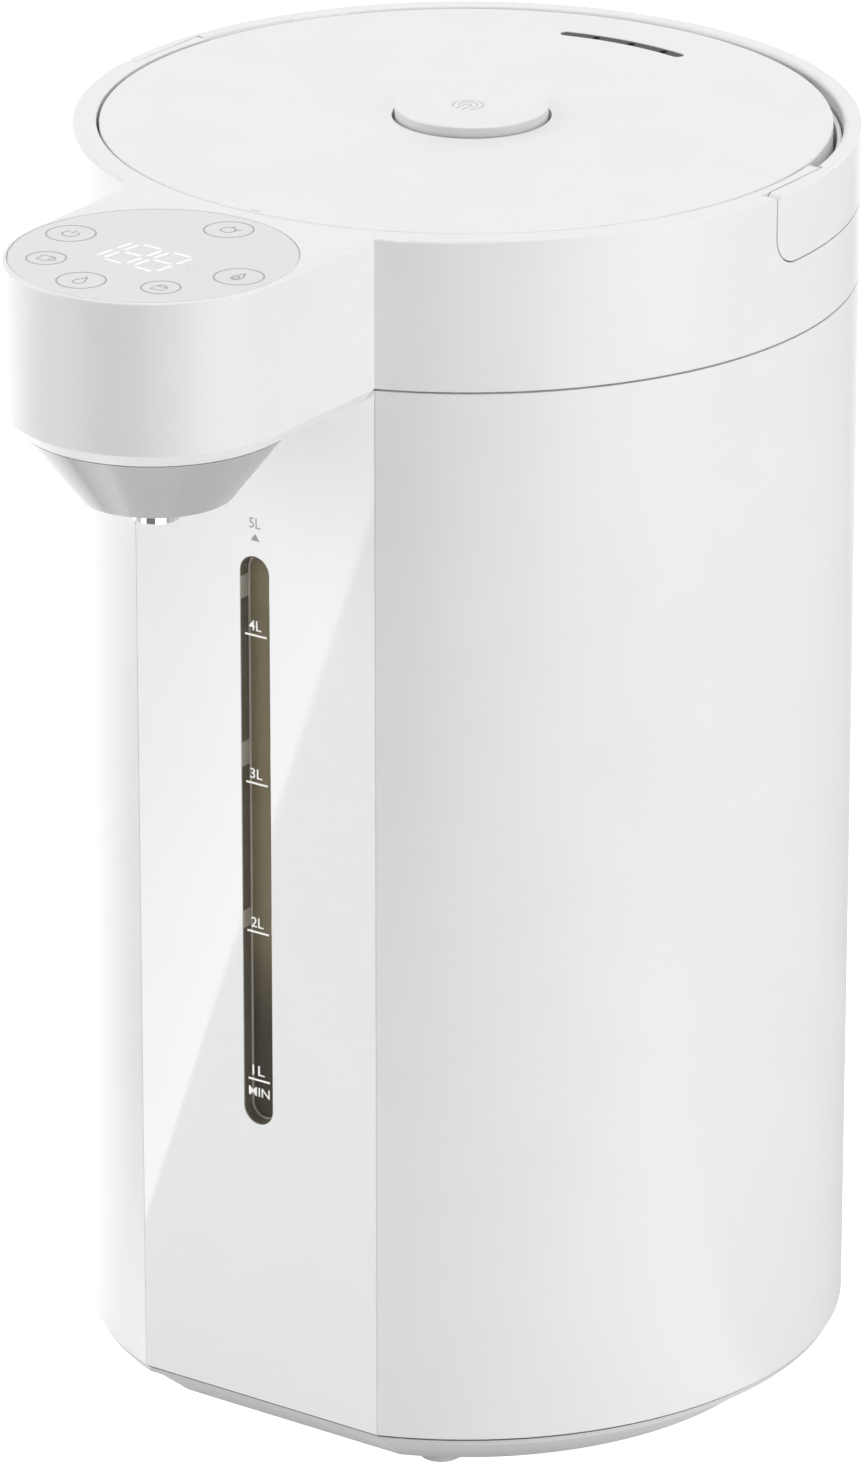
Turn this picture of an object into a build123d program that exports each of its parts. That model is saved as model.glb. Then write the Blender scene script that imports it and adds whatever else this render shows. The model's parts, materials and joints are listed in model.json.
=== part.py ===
from build123d import *
import math
import os

# Electric thermo pot: a round body with a flat front, a steel inner pot, a pumped spout in a
# head over the flat, a hinged lid with a push button, and a carrying bail folded round the rim.
# Millimetres. The origin is on the body's axis at the table, +Z up, the spout towards -Y.

# ---------------------------------------------------------------- driving dimensions
# Fits
FIT = 0.1               # gap round a piece that is set into another
SNUG = 0.02             # gap round a pushed-on or pressed-in round piece
RUN = 0.05              # radial clearance of a turning or sliding pin
EASE = 0.3              # gap beside a piece that slides or swings

# Body
BODY_R = 105.0          # outer radius of the body and the collar
BODY_WALL = 2.5         # wall of the body sleeve
BODY_LIFT = 15.6        # lower edge of the body above the table
BODY_H = 298.3          # lower edge of the body to the collar seam
FLAT_W = 77.1           # width of the flat front
PANEL_T = 2.0           # glossy front panel
PANEL_BACK_T = 2.0      # body wall behind the panel
SEAM_GAP = 0.5          # shadow line between the body and the collar

# Collar and head
COLLAR_H = 40.7         # seam to the top of the rim
COLLAR_WALL = 2.5       # collar wall below the shelf
RIM_W = 6.5             # width of the rim round the lid
RIM_EDGE_R = 0.7        # rounding of the rim's and the head's upper edge
SPIGOT_H = 7.0          # collar spigot inside the body
SPIGOT_WALL = 2.0
NOSE_REACH = 42.8       # flat front to the centre of the head's round nose
HEAD_WALL = 2.5
HEAD_TOP_T = 3.0
HEAD_BEVEL_W = 3.0      # bevel of the head's lower edge, inwards
HEAD_BEVEL_H = 3.6      # and down from the seam, over the top of the front panel
SHELF_DROP = 22.5      # rim to the underside of the pot shelf
SHELF_T = 2.5
THROAT_STEP = 3.1       # the throat is this much smaller in radius than the pot
HOSE_NOTCH_W = 18.0     # notch in the collar's spigot for the hose
PASSAGE_W = 28.0        # opening from the collar into the head

# Spout
CONE_STEP = 0.25        # edge of the bevel to the edge of the cone
CONE_SEAM = 0.3         # shadow line between the head and the cone
CONE_SEAT_W = 4.0       # ledge of the head round the cone's neck
CONE_END_R = 20.6
CONE_H = 19.1
CONE_WALL = 2.0
NOZZLE_R = 6.1
NOZZLE_BORE_R = 4.0
NOZZLE_DROP = 7.0       # nozzle below the cone
NOZZLE_COLLAR = 3.0     # step of the nozzle behind the cone
NOZZLE_BARB = 16.0      # nozzle seat to the top of its barb
TUBE_R = 2.5            # sight tube and hose barbs, outside
TUBE_BORE_R = 1.8
HOSE_WALL = 0.9
HOSE_BEND_R = 10.0
HOSE_GRIP = 8.0         # length of hose over a tube end
HOSE_LIFT = 5.1         # hose over the head's floor, to its middle

# Control disc on the head
DISC_MARGIN = 1.3       # head's side to the edge of the disc
DISC_T = 1.2
DISC_LEDGE = 2.7        # seat under the disc's edge
PAD_R = 3.0             # touch pad under each ring
PAD_PLACES = ((-27.6, 2.0), (-21.0, -17.3), (-3.2, -26.3), (16.6, -19.3), (27.9, -1.4), (3.8, 27.5))
DISPLAY_W = 32.0
DISPLAY_D = 20.0
DISPLAY_T = 4.6
BOARD_T = 1.6           # thickness of both circuit boards
BOARD_MARGIN = 1.0      # control board inside the carrier's edge
CHIP_SIZE = 12.0
CHIP_T = 2.2
CONTROL_SCREW_CIRCLE = 26.0
CONTROL_SCREW_ANGLES = (30, 140, 245)

# Level window and sight tube
WINDOW_W = 9.5
WINDOW_LIFT = 81.7      # lower edge of the body to the window's lower end
WINDOW_LEN = 162.4
WINDOW_T = 3.6
WINDOW_RIM = 1.8        # flange of the window behind the panel
GAUGE_SLOT_W = 16.0     # slot in the body wall behind the window
TUBE_DEPTH = 6.8        # flat front to the middle of the sight tube
TUBE_START = 42.4       # lower edge of the body to the tube's lower end
TUBE_TOP_GAP = 11.4     # tube's upper end below the seam
CLIP_W = 22.0
CLIP_T = 4.6
CLIP_H = 7.0
CLIP_START = 60.8       # window's lower end to the lowest clip
CLIP_PITCH = 47.2
CLIP_COUNT = 3

# Inner pot
JACKET_W = 15.2         # space between the pot's wall and the body's
POT_WALL = 0.7
POT_FLOOR_T = 1.0
POT_FLOOR_LIFT = 52.8   # lower edge of the body to the inside of the pot's floor
POT_CORNER_R = 6.0
POT_FLANGE_W = 8.4
SEAL_T = 1.5
CLAMP_T = 3.0
CLAMP_GAP = 1.5         # clamp ring to the collar's wall
CLAMP_SCREW_ANGLES = (0, 60, 120, 180, 240, 300)
SMALL_SCREW_R = 1.5     # shank of the small screws
SMALL_HEAD_R = 2.7
SMALL_HEAD_T = 1.8
SCREW_BITE = 1.6        # the small screws enter the plastic by this much
SLEEVE_GAP = 0.4        # insulation round the pot
SLEEVE_T = 8.0
SLEEVE_START = 4.6      # underside of the pot to the insulation's lower edge
SLEEVE_TOP_GAP = 1.9    # insulation below the collar's spigot
SLEEVE_OPEN_W = 26.0    # gap in the insulation for the sight tube

# Heater
PLATE_INSET = 28.6      # heating plate inside the pot's wall
PLATE_T = 4.0
ELEMENT_INSET = 12.0    # middle of the heating element inside the plate's edge
ELEMENT_BAR_R = 4.0
ELEMENT_OPEN_DEG = 30.0
ELEMENT_PIN_R = 1.6
ELEMENT_PIN_H = 12.0
SENSOR_R = 6.0
SENSOR_H = 8.0
SENSOR_FLANGE_W = 3.0
CUTOUT_R = 7.0
CUTOUT_H = 9.0
CUTOUT_X = 24.0
CUTOUT_EAR_W = 5.0
TAB_T = 1.2             # flanges of the sensor and the cut-outs

# Pump, on a vertical axis under the pot's outlet
PUMP_ANGLE = 225.0      # place of the outlet round the pot, in degrees from +X
PUMP_R = 22.0
PUMP_LOW = 37.0         # joint between the motor and the pump head
PUMP_H = 13.0
PUMP_FLANGE_T = 2.0
CHAMBER_R = 16.0
CHAMBER_H = 10.0
IMPELLER_R = 14.0
IMPELLER_HUB_R = 4.0
IMPELLER_DISC_T = 1.6
IMPELLER_GAP = 1.0      # impeller to the floor of the chamber
VANE_T = 1.2
VANE_COUNT = 6
SHAFT_R = 1.5
SHAFT_DEPTH = 14.0      # shaft inside the motor
MOTOR_R = 17.5
CRADLE_WALL = 2.8
CRADLE_H = 10.5
CRADLE_FLOOR_T = 3.0
OUTLET_R = 4.1          # pot outlet and pump inlet stubs
OUTLET_BORE_R = 3.0
OUTLET_FLANGE_T = 3.0
OUTLET_H = 9.0          # outlet stub below the pot
INLET_STUB_H = 6.0      # inlet stub over the pump head
SUCTION_WALL = 1.7
HOSE_END_GAP = 0.5      # suction hose to the faces it stops at
CLAMP_BAND_H = 3.0
CLAMP_BAND_T = 1.0
BARB_OFFSET = 9.0       # pump's outlet barb, in front of its axis
BARB_LIFT = 6.0         # pump's outlet barb over the motor joint
BARB_LEN = 13.0         # pump's outlet barb beyond the pump head
DELIVERY_BEND_R = 8.0

# Base cover
BASE_LOW = 3.0          # underside above the table: the feet stand out by this much
BASE_GAP = 0.8          # shadow gap under the body
BASE_LIP_INSET = 1.4    # pale lip inside the body's outline
BASE_LIP_T = 1.6
BASE_STEP = 1.2         # top of the tapered flank inside the lip
BASE_FLANK_W = 12.4     # the flank draws in by this much
BASE_FLOOR_T = 2.5
BASE_WALL = 2.5
BASE_SPIGOT_H = 7.0
POST_R = 5.0
POST_INSET = 20.5       # screw posts inside the body's wall
POST_ANGLES = (20.0, 160.0, 200.0, 340.0)
BOSS_GAP = 2.0          # body's screw bosses over the cover's spigot
BOSS_H = 14.0
BOSS_HOLE = 12.0
SCREW_R = 2.0
SCREW_HEAD_R = 3.6
SCREW_HEAD_T = 3.0
SCREW_SEAT = 6.0        # depth of the screw heads' seats
SCREW_REACH = 10.0      # screw inside the body's boss
FOOT_R = 6.0
FOOT_INSET = 8.3        # feet inside the underside's edge
FOOT_ANGLES = (60.0, 120.0, 240.0, 300.0)
FOOT_SEAT = 1.5         # depth of the feet's recesses
FOOT_EDGE_R = 0.8
VENT_LEN = 36.0
VENT_W = 3.0
VENT_PITCH = 9.0
VENT_COUNT = 5

# Power inlet and board
INLET_W = 30.0
INLET_H = 24.0
INLET_Z = 38.0
INLET_WALL = 3.5
INLET_DEPTH = 21.0
SOCKET_DEPTH = 17.0
PIN_LENGTH = 10.5
PIN_W = 2.0
PIN_H = 5.0
PIN_PLACES = ((-7.0, -2.0), (7.0, -2.0), (0.0, 2.0))
BOARD_W = 92.0
BOARD_D = 60.0
BOARD_X = 8.0
BOARD_Y = 14.0
BOARD_LIFT = 14.5       # board over the floor of the base cover
STANDOFF_R = 3.0
STANDOFF_INSET = 4.5

# Lid
LID_GAP = 0.9           # lid inside the rim
LID_SHIFT = 0.3         # the lid's disc lies this much forward of the body's axis
LID_T = 2.2
LID_EDGE_R = 0.6
SKIRT_T = 2.0
SKIRT_H = 8.8
SKIRT_CUT = 11.0        # the skirt stops this far in front of the hinge
LINER_GAP = 2.0         # liner inside the throat
LINER_T = 1.5
LINER_DROP = 22.6       # rim to the underside of the liner
LINER_H = 12.0
LINER_FLANGE_W = 11.5
LINER_CUT = 5.0         # the liner's flange stops this far in front of the hinge
LINER_BOSS_R = 3.2
LINER_SCREW_ANGLES = (35, 145, 215, 325)
GASKET_W = 4.8
GASKET_T = 2.5
GASKET_LIFT = 0.3       # closed gasket above the shelf
WELL_GAP = 0.8          # button's well round the button
WELL_WALL = 1.6
WELL_DEPTH = 14.1
WELL_FLOOR_T = 1.5
BUTTON_R = 20.5
BUTTON_Y = 2.3          # button's axis behind the body's axis
BUTTON_PROUD = 3.0
BUTTON_TRAVEL = 3.0
BUTTON_T = 1.8
BUTTON_EDGE_R = 0.7
BUTTON_END_GAP = 1.0    # pressed button to the floor of its well
SPRING_X = 13.0
SPRING_R = 3.0
SPRING_WIRE_R = 0.4
SPRING_TURNS = 6
SLIT_INSET = 18.6       # steam slit inside the lid's edge
SLIT_W = 3.6
SLIT_HALF_DEG = 13.0
SLIT_SIDE_DEG = 1.3     # the slit's middle is turned this much to the left
VENT_SINK = 0.2         # steam vent below the lid's top
VENT_FLANGE_T = 1.5
VENT_HOLE_R = 1.1
VENT_HOLE_ANGLES = (82.0, 90.0, 98.0)
DUCT_W = 47.0
DUCT_D = 12.0
DUCT_WALL = 1.5
STEAM_HOLE_R = 1.5
STEAM_HOLE_PITCH = 5.0
STEAM_HOLE_COUNT = 5

# Latch, a flat bar from the button to the front of the lid
LATCH_W = 14.0
LATCH_T = 2.4
LATCH_DROP = 4.6        # rim to the top of the bar
LATCH_BITE = 1.8        # latch inside the rim's pocket
LATCH_TAIL = 14.0       # latch behind the button's axis
LATCH_BEVEL = 1.2
BLADE_W = 6.0
BLADE_T = 3.0
BLADE_GAP = 0.2
RAIL_T = 2.0            # rails beside the latch
RAIL_LIP_T = 1.5
RAIL_SHORT = 12.0       # rails end this far inside the lid's edge

# Lid hinge
HINGE_INSET = 8.6       # hinge axis inside the lid's edge
HINGE_DROP = 2.8        # top of the lid to the hinge axis
HINGE_PIN_R = 1.2
EAR_R = 2.2
EAR_T = 2.0
EAR_X = 16.0
EAR_BACK = 0.4          # ear's leg behind the hinge axis
KNUCKLE_R = 2.7
KNUCKLE_X = 6.0         # inner end of the inner knuckles
KNUCKLE_END = 25.0      # outer end of the outer knuckles
KNUCKLE_GAP = 0.5
BRACKET_T = 1.5
BRACKET_BACK = 7.0      # bracket's foot behind the hinge axis
BRACKET_SCREW_X = 8.0
BRACKET_SCREW_BACK = 3.5

# Carrying handle
HANDLE_T = 4.8
HANDLE_H = 19.6
HANDLE_CLEAR = 0.5      # folded handle round the wall behind it
HANDLE_FRONT = 9.6      # front edge of the lugs, ahead of the pivot
HANDLE_GAP = 0.4        # in front of the lugs
HANDLE_GAP_LOW = 0.4    # under the handle
HANDLE_INNER_R = 1.6    # rounding of the handle's upper inner edge
HANDLE_OUTER_R = 0.7
LUG_CORNER_R = 8.0      # lower front corner of the lugs
LUG_TOP_R = 2.5         # upper front corner of the lugs
NOTCH_R = 2.0           # rounding of the rim's end beside the lugs
RECESS_WALL_DROP = 4.5  # rim to the top of the wall behind the handle
PIVOT_DROP = 4.5
PIVOT_PIN_R = 2.25
PIVOT_PIN_END = 1.4     # pin's end inside the handle's outer face
PAD_T = 2.4             # flat pad that carries the pivot pin
PAD_BACK = 16.5         # pad behind the pivot

# ---------------------------------------------------------------- derived heights and places
BODY_TOP = BODY_LIFT + BODY_H
RIM_Z = BODY_TOP + COLLAR_H
SHELL_TOP = BODY_TOP - SEAM_GAP
PANEL_H = SHELL_TOP - BODY_LIFT
FLAT_HALF = FLAT_W / 2
FLAT_Y = math.sqrt(BODY_R**2 - FLAT_HALF**2)
SHELL_IN_R = BODY_R - BODY_WALL
SHELL_IN_FLAT = FLAT_Y - PANEL_T - PANEL_BACK_T
SPIGOT_R = SHELL_IN_R - 1.5 * FIT
SPIGOT_FLAT = SHELL_IN_FLAT - 1.5 * FIT
NOSE_Y = FLAT_Y + NOSE_REACH
SHELF_Z = RIM_Z - SHELF_DROP
SHELF_TOP = SHELF_Z + SHELF_T
LID_OPENING_R = BODY_R - RIM_W
HEAD_FLOOR = BODY_TOP + HEAD_WALL
HEAD_LOW = BODY_TOP - HEAD_BEVEL_H
NECK_TOP = HEAD_LOW + HEAD_WALL

DISC_R = FLAT_HALF - DISC_MARGIN
CONE_TOP_R = FLAT_HALF - HEAD_BEVEL_W - CONE_STEP
CONE_NECK_R = CONE_TOP_R - CONE_SEAT_W
CONE_TOP_Z = HEAD_LOW - CONE_SEAM
CONE_END_Z = CONE_TOP_Z - CONE_H
NOZZLE_SEAT = CONE_END_Z + CONE_WALL
HOSE_R = TUBE_R + HOSE_WALL
HOSE_TOP_Z = HEAD_FLOOR + HOSE_LIFT
CARRIER_TOP = RIM_Z - DISC_T - FIT / 2
CARRIER_LOW = CARRIER_TOP - DISPLAY_T
CARRIER_R = DISC_R - DISC_LEDGE - 2 * FIT

WINDOW_LOW = BODY_LIFT + WINDOW_LIFT
WINDOW_Z = WINDOW_LOW + WINDOW_LEN / 2
TUBE_Y = FLAT_Y - TUBE_DEPTH
TUBE_LOW = BODY_LIFT + TUBE_START
TUBE_HIGH = BODY_TOP - TUBE_TOP_GAP
BARB_Z = PUMP_LOW + BARB_LIFT
GAUGE_SLOT_LOW = BARB_Z - 2 * HOSE_R

POT_OUT_R = SHELL_IN_R - JACKET_W
POT_R = POT_OUT_R - POT_WALL
POT_FLOOR = BODY_LIFT + POT_FLOOR_LIFT
POT_BASE = POT_FLOOR - POT_FLOOR_T
POT_FLANGE_R = POT_R + POT_FLANGE_W
FLANGE_TOP = SHELF_Z - SEAL_T
FLANGE_LOW = FLANGE_TOP - POT_WALL
THROAT_R = POT_R - THROAT_STEP
CLAMP_R = BODY_R - COLLAR_WALL - CLAMP_GAP
CLAMP_LOW = FLANGE_LOW - CLAMP_T
CLAMP_SCREW_CIRCLE = (POT_FLANGE_R + CLAMP_R) / 2
SLEEVE_IN_R = POT_OUT_R + SLEEVE_GAP
SLEEVE_LOW = POT_BASE + SLEEVE_START
SLEEVE_HIGH = BODY_TOP - SPIGOT_H - SLEEVE_TOP_GAP
PLATE_R = POT_R - PLATE_INSET
PLATE_LOW = POT_BASE - PLATE_T
ELEMENT_R = PLATE_R - ELEMENT_INSET
ELEMENT_Z = PLATE_LOW - ELEMENT_BAR_R

BASE_FLOOR = BASE_LOW + BASE_FLOOR_T
BASE_LIP_TOP = BODY_LIFT - BASE_GAP
BASE_TAPER_TOP = BASE_LIP_TOP - BASE_LIP_T
BASE_LIP_R = BODY_R - BASE_LIP_INSET
BASE_TAPER_R = BASE_LIP_R - BASE_STEP
BASE_END_R = BASE_TAPER_R - BASE_FLANK_W
BOSS_LOW = BASE_LIP_TOP + BASE_SPIGOT_H + BOSS_GAP
POST_CIRCLE = SHELL_IN_R - POST_INSET
SCREW_TOP = BASE_LOW + SCREW_SEAT
FOOT_CIRCLE = BASE_END_R - FOOT_INSET
PUMP_CIRCLE = PLATE_R + 2 * OUTLET_R + EASE
PUMP_X = PUMP_CIRCLE * math.cos(math.radians(PUMP_ANGLE))
PUMP_Y = PUMP_CIRCLE * math.sin(math.radians(PUMP_ANGLE))
PUMP_TOP = PUMP_LOW + PUMP_H
MOTOR_LOW = BASE_FLOOR + CRADLE_FLOOR_T
BARB_TIP_X = PUMP_X + PUMP_R + BARB_LEN
BARB_Y = PUMP_Y - BARB_OFFSET
SOCKET_FLOOR_Y = BODY_R - SOCKET_DEPTH
BOARD_Z = BASE_FLOOR + BOARD_LIFT
BOARD_TOP = BOARD_Z + BOARD_T

LID_R = LID_OPENING_R - LID_GAP
LID_UNDER = RIM_Z - LID_T
SKIRT_LOW = LID_UNDER - SKIRT_H
HINGE_Y = LID_R - HINGE_INSET
HINGE_Z = RIM_Z - HINGE_DROP
LINER_R = THROAT_R - LINER_GAP
LINER_IN_R = LINER_R - LINER_T
LINER_TOP_R = LINER_R + LINER_FLANGE_W
LINER_LOW = RIM_Z - LINER_DROP
LINER_TOP = LINER_LOW + LINER_H
LINER_SCREW_CIRCLE = (LINER_R + LINER_TOP_R) / 2
WELL_R = BUTTON_R + WELL_GAP
WELL_FLOOR = RIM_Z - WELL_DEPTH
BUTTON_TOP = RIM_Z + BUTTON_PROUD
BUTTON_UNDER = BUTTON_TOP - BUTTON_T
SLIT_R = LID_R - SLIT_INSET
SLIT_START_DEG = 90 - SLIT_HALF_DEG + SLIT_SIDE_DEG
DUCT_TOP_R = SLIT_R + SLIT_W / 2 + VENT_FLANGE_T
DUCT_BACK_R = LINER_IN_R - FIT
DUCT_FRONT_Y = DUCT_BACK_R - DUCT_D
DUCT_LOW = LINER_LOW + LINER_T
DUCT_HIGH = LID_UNDER - VENT_FLANGE_T
LATCH_TOP = RIM_Z - LATCH_DROP
LATCH_LOW = LATCH_TOP - LATCH_T
LATCH_TIP_Y = LID_OPENING_R + LATCH_BITE
LATCH_BACK = BUTTON_Y + LATCH_TAIL
RAIL_LOW = LATCH_LOW - EASE - RAIL_LIP_T
RAIL_BACK = WELL_R + WELL_WALL / 2 - BUTTON_Y
BLADE_MID_Z = LATCH_TOP - LATCH_T / 2
BLADE_LOW = WELL_FLOOR + BUTTON_TRAVEL + 2 * EASE
BLADE_KNEE = LATCH_TOP + BUTTON_TRAVEL + EASE

HANDLE_IN_R = BODY_R - HANDLE_T
HANDLE_LOW = RIM_Z - HANDLE_H
RECESS_R = HANDLE_IN_R - HANDLE_CLEAR
RECESS_FLOOR = HANDLE_LOW - HANDLE_GAP_LOW
RECESS_FRONT = HANDLE_FRONT + HANDLE_GAP
PIVOT_Z = RIM_Z - PIVOT_DROP
PAD_X = LID_OPENING_R + PAD_T
LUG_X = PAD_X + EASE
PIN_IN_X = LID_OPENING_R + EASE
PIN_OUT_X = BODY_R - PIVOT_PIN_END

UP = (Align.CENTER, Align.CENTER, Align.MIN)
DOWN = (Align.CENTER, Align.CENTER, Align.MAX)

os.makedirs("parts", exist_ok=True)


# ---------------------------------------------------------------- helpers
def save(builder, name):
    """Labels a finished sub-part and writes it under its own name."""
    builder.part.label = name
    export_step(builder.part, f"parts/{name}.step")


def d_outline(radius, flat, mode=Mode.ADD):
    """Sketch of the body's section: a circle cut off flat at the front."""
    half = math.sqrt(radius**2 - flat**2)
    with BuildLine() as outline:
        ThreePointArc((half, -flat), (0, radius), (-half, -flat))
        Line((-half, -flat), (half, -flat))
    make_face(outline.edges(), mode=mode)


def head_outline(half_width, back_y):
    """Sketch of the head from above: parallel sides and a half-round nose."""
    with BuildLine() as outline:
        Line((half_width, -back_y), (half_width, -NOSE_Y))
        ThreePointArc((half_width, -NOSE_Y), (0, -NOSE_Y - half_width), (-half_width, -NOSE_Y))
        Line((-half_width, -NOSE_Y), (-half_width, -back_y))
        Line((-half_width, -back_y), (half_width, -back_y))
    make_face(outline.edges())


def ring_sketch(outer, inner):
    """Sketch of a flat ring."""
    Circle(outer)
    Circle(inner, mode=Mode.SUBTRACT)


def section(*points):
    """Closed half-section of a turned piece, as (radius, height) corners."""
    with BuildLine() as outline:
        Polyline(*points, close=True)
    make_face(outline.edges())


def on_circle(radius, angles, z=0.0):
    """Points on a circle about the body's axis, at the given angles in degrees."""
    return [(radius * math.cos(math.radians(a)), radius * math.sin(math.radians(a)), z) for a in angles]


def box_between(low, high, mode=Mode.ADD):
    """A box from its lowest corner to its highest one."""
    centre = [(a + b) / 2 for a, b in zip(low, high)]
    with Locations(tuple(centre)):
        Box(high[0] - low[0], high[1] - low[1], high[2] - low[2], mode=mode)


# ---------------------------------------------------------------- body
with BuildPart() as outer_shell:
    with BuildSketch(Plane.XY.offset(BODY_LIFT)):
        d_outline(BODY_R, FLAT_Y)
        d_outline(SHELL_IN_R, SHELL_IN_FLAT, mode=Mode.SUBTRACT)
    extrude(amount=PANEL_H)
    # Recess for the front panel, open at the top and the bottom.
    box_between((-FLAT_HALF, -BODY_R, BODY_LIFT), (FLAT_HALF, -FLAT_Y + PANEL_T, SHELL_TOP),
                mode=Mode.SUBTRACT)
    # Slot for the sight tube, open at the top.
    box_between((-GAUGE_SLOT_W / 2, -FLAT_Y, GAUGE_SLOT_LOW),
                (GAUGE_SLOT_W / 2, -SHELL_IN_FLAT + PANEL_T, SHELL_TOP), mode=Mode.SUBTRACT)
    # Opening for the power inlet.
    box_between((-INLET_W / 2 - FIT, BODY_R - INLET_DEPTH, INLET_Z - INLET_H / 2 - FIT),
                (INLET_W / 2 + FIT, BODY_R + FIT, INLET_Z + INLET_H / 2 + FIT), mode=Mode.SUBTRACT)
    # Screw bosses inside the lower edge, each on a rib from the wall.
    for angle in POST_ANGLES:
        with BuildSketch(Plane.XY.offset(BOSS_LOW).rotated((0, 0, angle))):
            with Locations((POST_CIRCLE, 0)):
                Circle(POST_R)
            with Locations((POST_CIRCLE + (POST_INSET + BODY_WALL / 2) / 2, 0)):
                Rectangle(POST_INSET + BODY_WALL / 2, POST_R)
        extrude(amount=BOSS_H)
    with Locations(*on_circle(POST_CIRCLE, POST_ANGLES, BOSS_LOW)):
        Cylinder(SCREW_R + SNUG, BOSS_HOLE, align=UP, mode=Mode.SUBTRACT)
save(outer_shell, "outer_shell")

with BuildPart() as front_panel:
    with BuildSketch(Plane.XZ.offset(FLAT_Y)):
        with Locations((0, BODY_LIFT + PANEL_H / 2)):
            Rectangle(FLAT_W - FIT, PANEL_H)
        with Locations((0, WINDOW_Z)):
            SlotOverall(WINDOW_LEN, WINDOW_W, rotation=90, mode=Mode.SUBTRACT)
    extrude(amount=-(PANEL_T - FIT / 2))
save(front_panel, "front_panel")

with BuildPart() as level_window:
    with BuildSketch(Plane.XZ.offset(FLAT_Y)):
        with Locations((0, WINDOW_Z)):
            SlotOverall(WINDOW_LEN - 2 * FIT, WINDOW_W - 2 * FIT, rotation=90)
    extrude(amount=-WINDOW_T)
    with BuildSketch(Plane.XZ.offset(FLAT_Y - PANEL_T)):
        with Locations((0, WINDOW_Z)):
            SlotOverall(WINDOW_LEN + 2 * WINDOW_RIM, WINDOW_W + 2 * WINDOW_RIM, rotation=90)
    extrude(amount=PANEL_T - WINDOW_T)
save(level_window, "level_window")

with BuildPart() as sight_tube:
    with BuildSketch(Plane.XY.offset(TUBE_LOW)):
        with Locations((0, -TUBE_Y)):
            ring_sketch(TUBE_R, TUBE_BORE_R)
    extrude(amount=TUBE_HIGH - TUBE_LOW)
save(sight_tube, "sight_tube")

with BuildPart() as tube_clips:
    clip_front = -SHELL_IN_FLAT + FIT / 2
    for number in range(CLIP_COUNT):
        clip_low = WINDOW_LOW + CLIP_START + number * CLIP_PITCH
        box_between((-CLIP_W / 2, clip_front, clip_low), (CLIP_W / 2, clip_front + CLIP_T, clip_low + CLIP_H))
        with Locations((0, -TUBE_Y, clip_low)):
            Cylinder(TUBE_R + RUN, CLIP_H, align=UP, mode=Mode.SUBTRACT)
save(tube_clips, "tube_clips")

# ---------------------------------------------------------------- collar and head
# The space that the folded handle lies in, as seen from the side: its floor and front follow the
# lugs, and the rim's end beside them is rounded.
with BuildPart() as handle_recess:
    with BuildSketch(Plane.XY.offset(RECESS_FLOOR)):
        ring_sketch(BODY_R + RIM_W, RECESS_R)
        Rectangle(2 * PAD_X, 2 * PAD_BACK, mode=Mode.SUBTRACT)
    extrude(amount=2 * HANDLE_H)
    recess_corner = LUG_CORNER_R + HANDLE_GAP
    with BuildSketch(Plane.YZ.offset(-BODY_R - RIM_W)):
        with BuildLine() as recess_side:
            Line((2 * BODY_R, RECESS_FLOOR), (recess_corner - RECESS_FRONT, RECESS_FLOOR))
            CenterArc((recess_corner - RECESS_FRONT, RECESS_FLOOR + recess_corner), recess_corner, 270, -90)
            Line((-RECESS_FRONT, RECESS_FLOOR + recess_corner), (-RECESS_FRONT, RIM_Z - NOTCH_R))
            CenterArc((-RECESS_FRONT - NOTCH_R, RIM_Z - NOTCH_R), NOTCH_R, 0, 90)
            Line((-RECESS_FRONT - NOTCH_R, RIM_Z), (-RECESS_FRONT - NOTCH_R, RIM_Z + RIM_W))
            Line((-RECESS_FRONT - NOTCH_R, RIM_Z + RIM_W), (2 * BODY_R, RIM_Z + RIM_W))
            Line((2 * BODY_R, RIM_Z + RIM_W), (2 * BODY_R, RECESS_FLOOR))
        make_face(recess_side.edges())
    extrude(amount=2 * (BODY_R + RIM_W), mode=Mode.INTERSECT)

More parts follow.
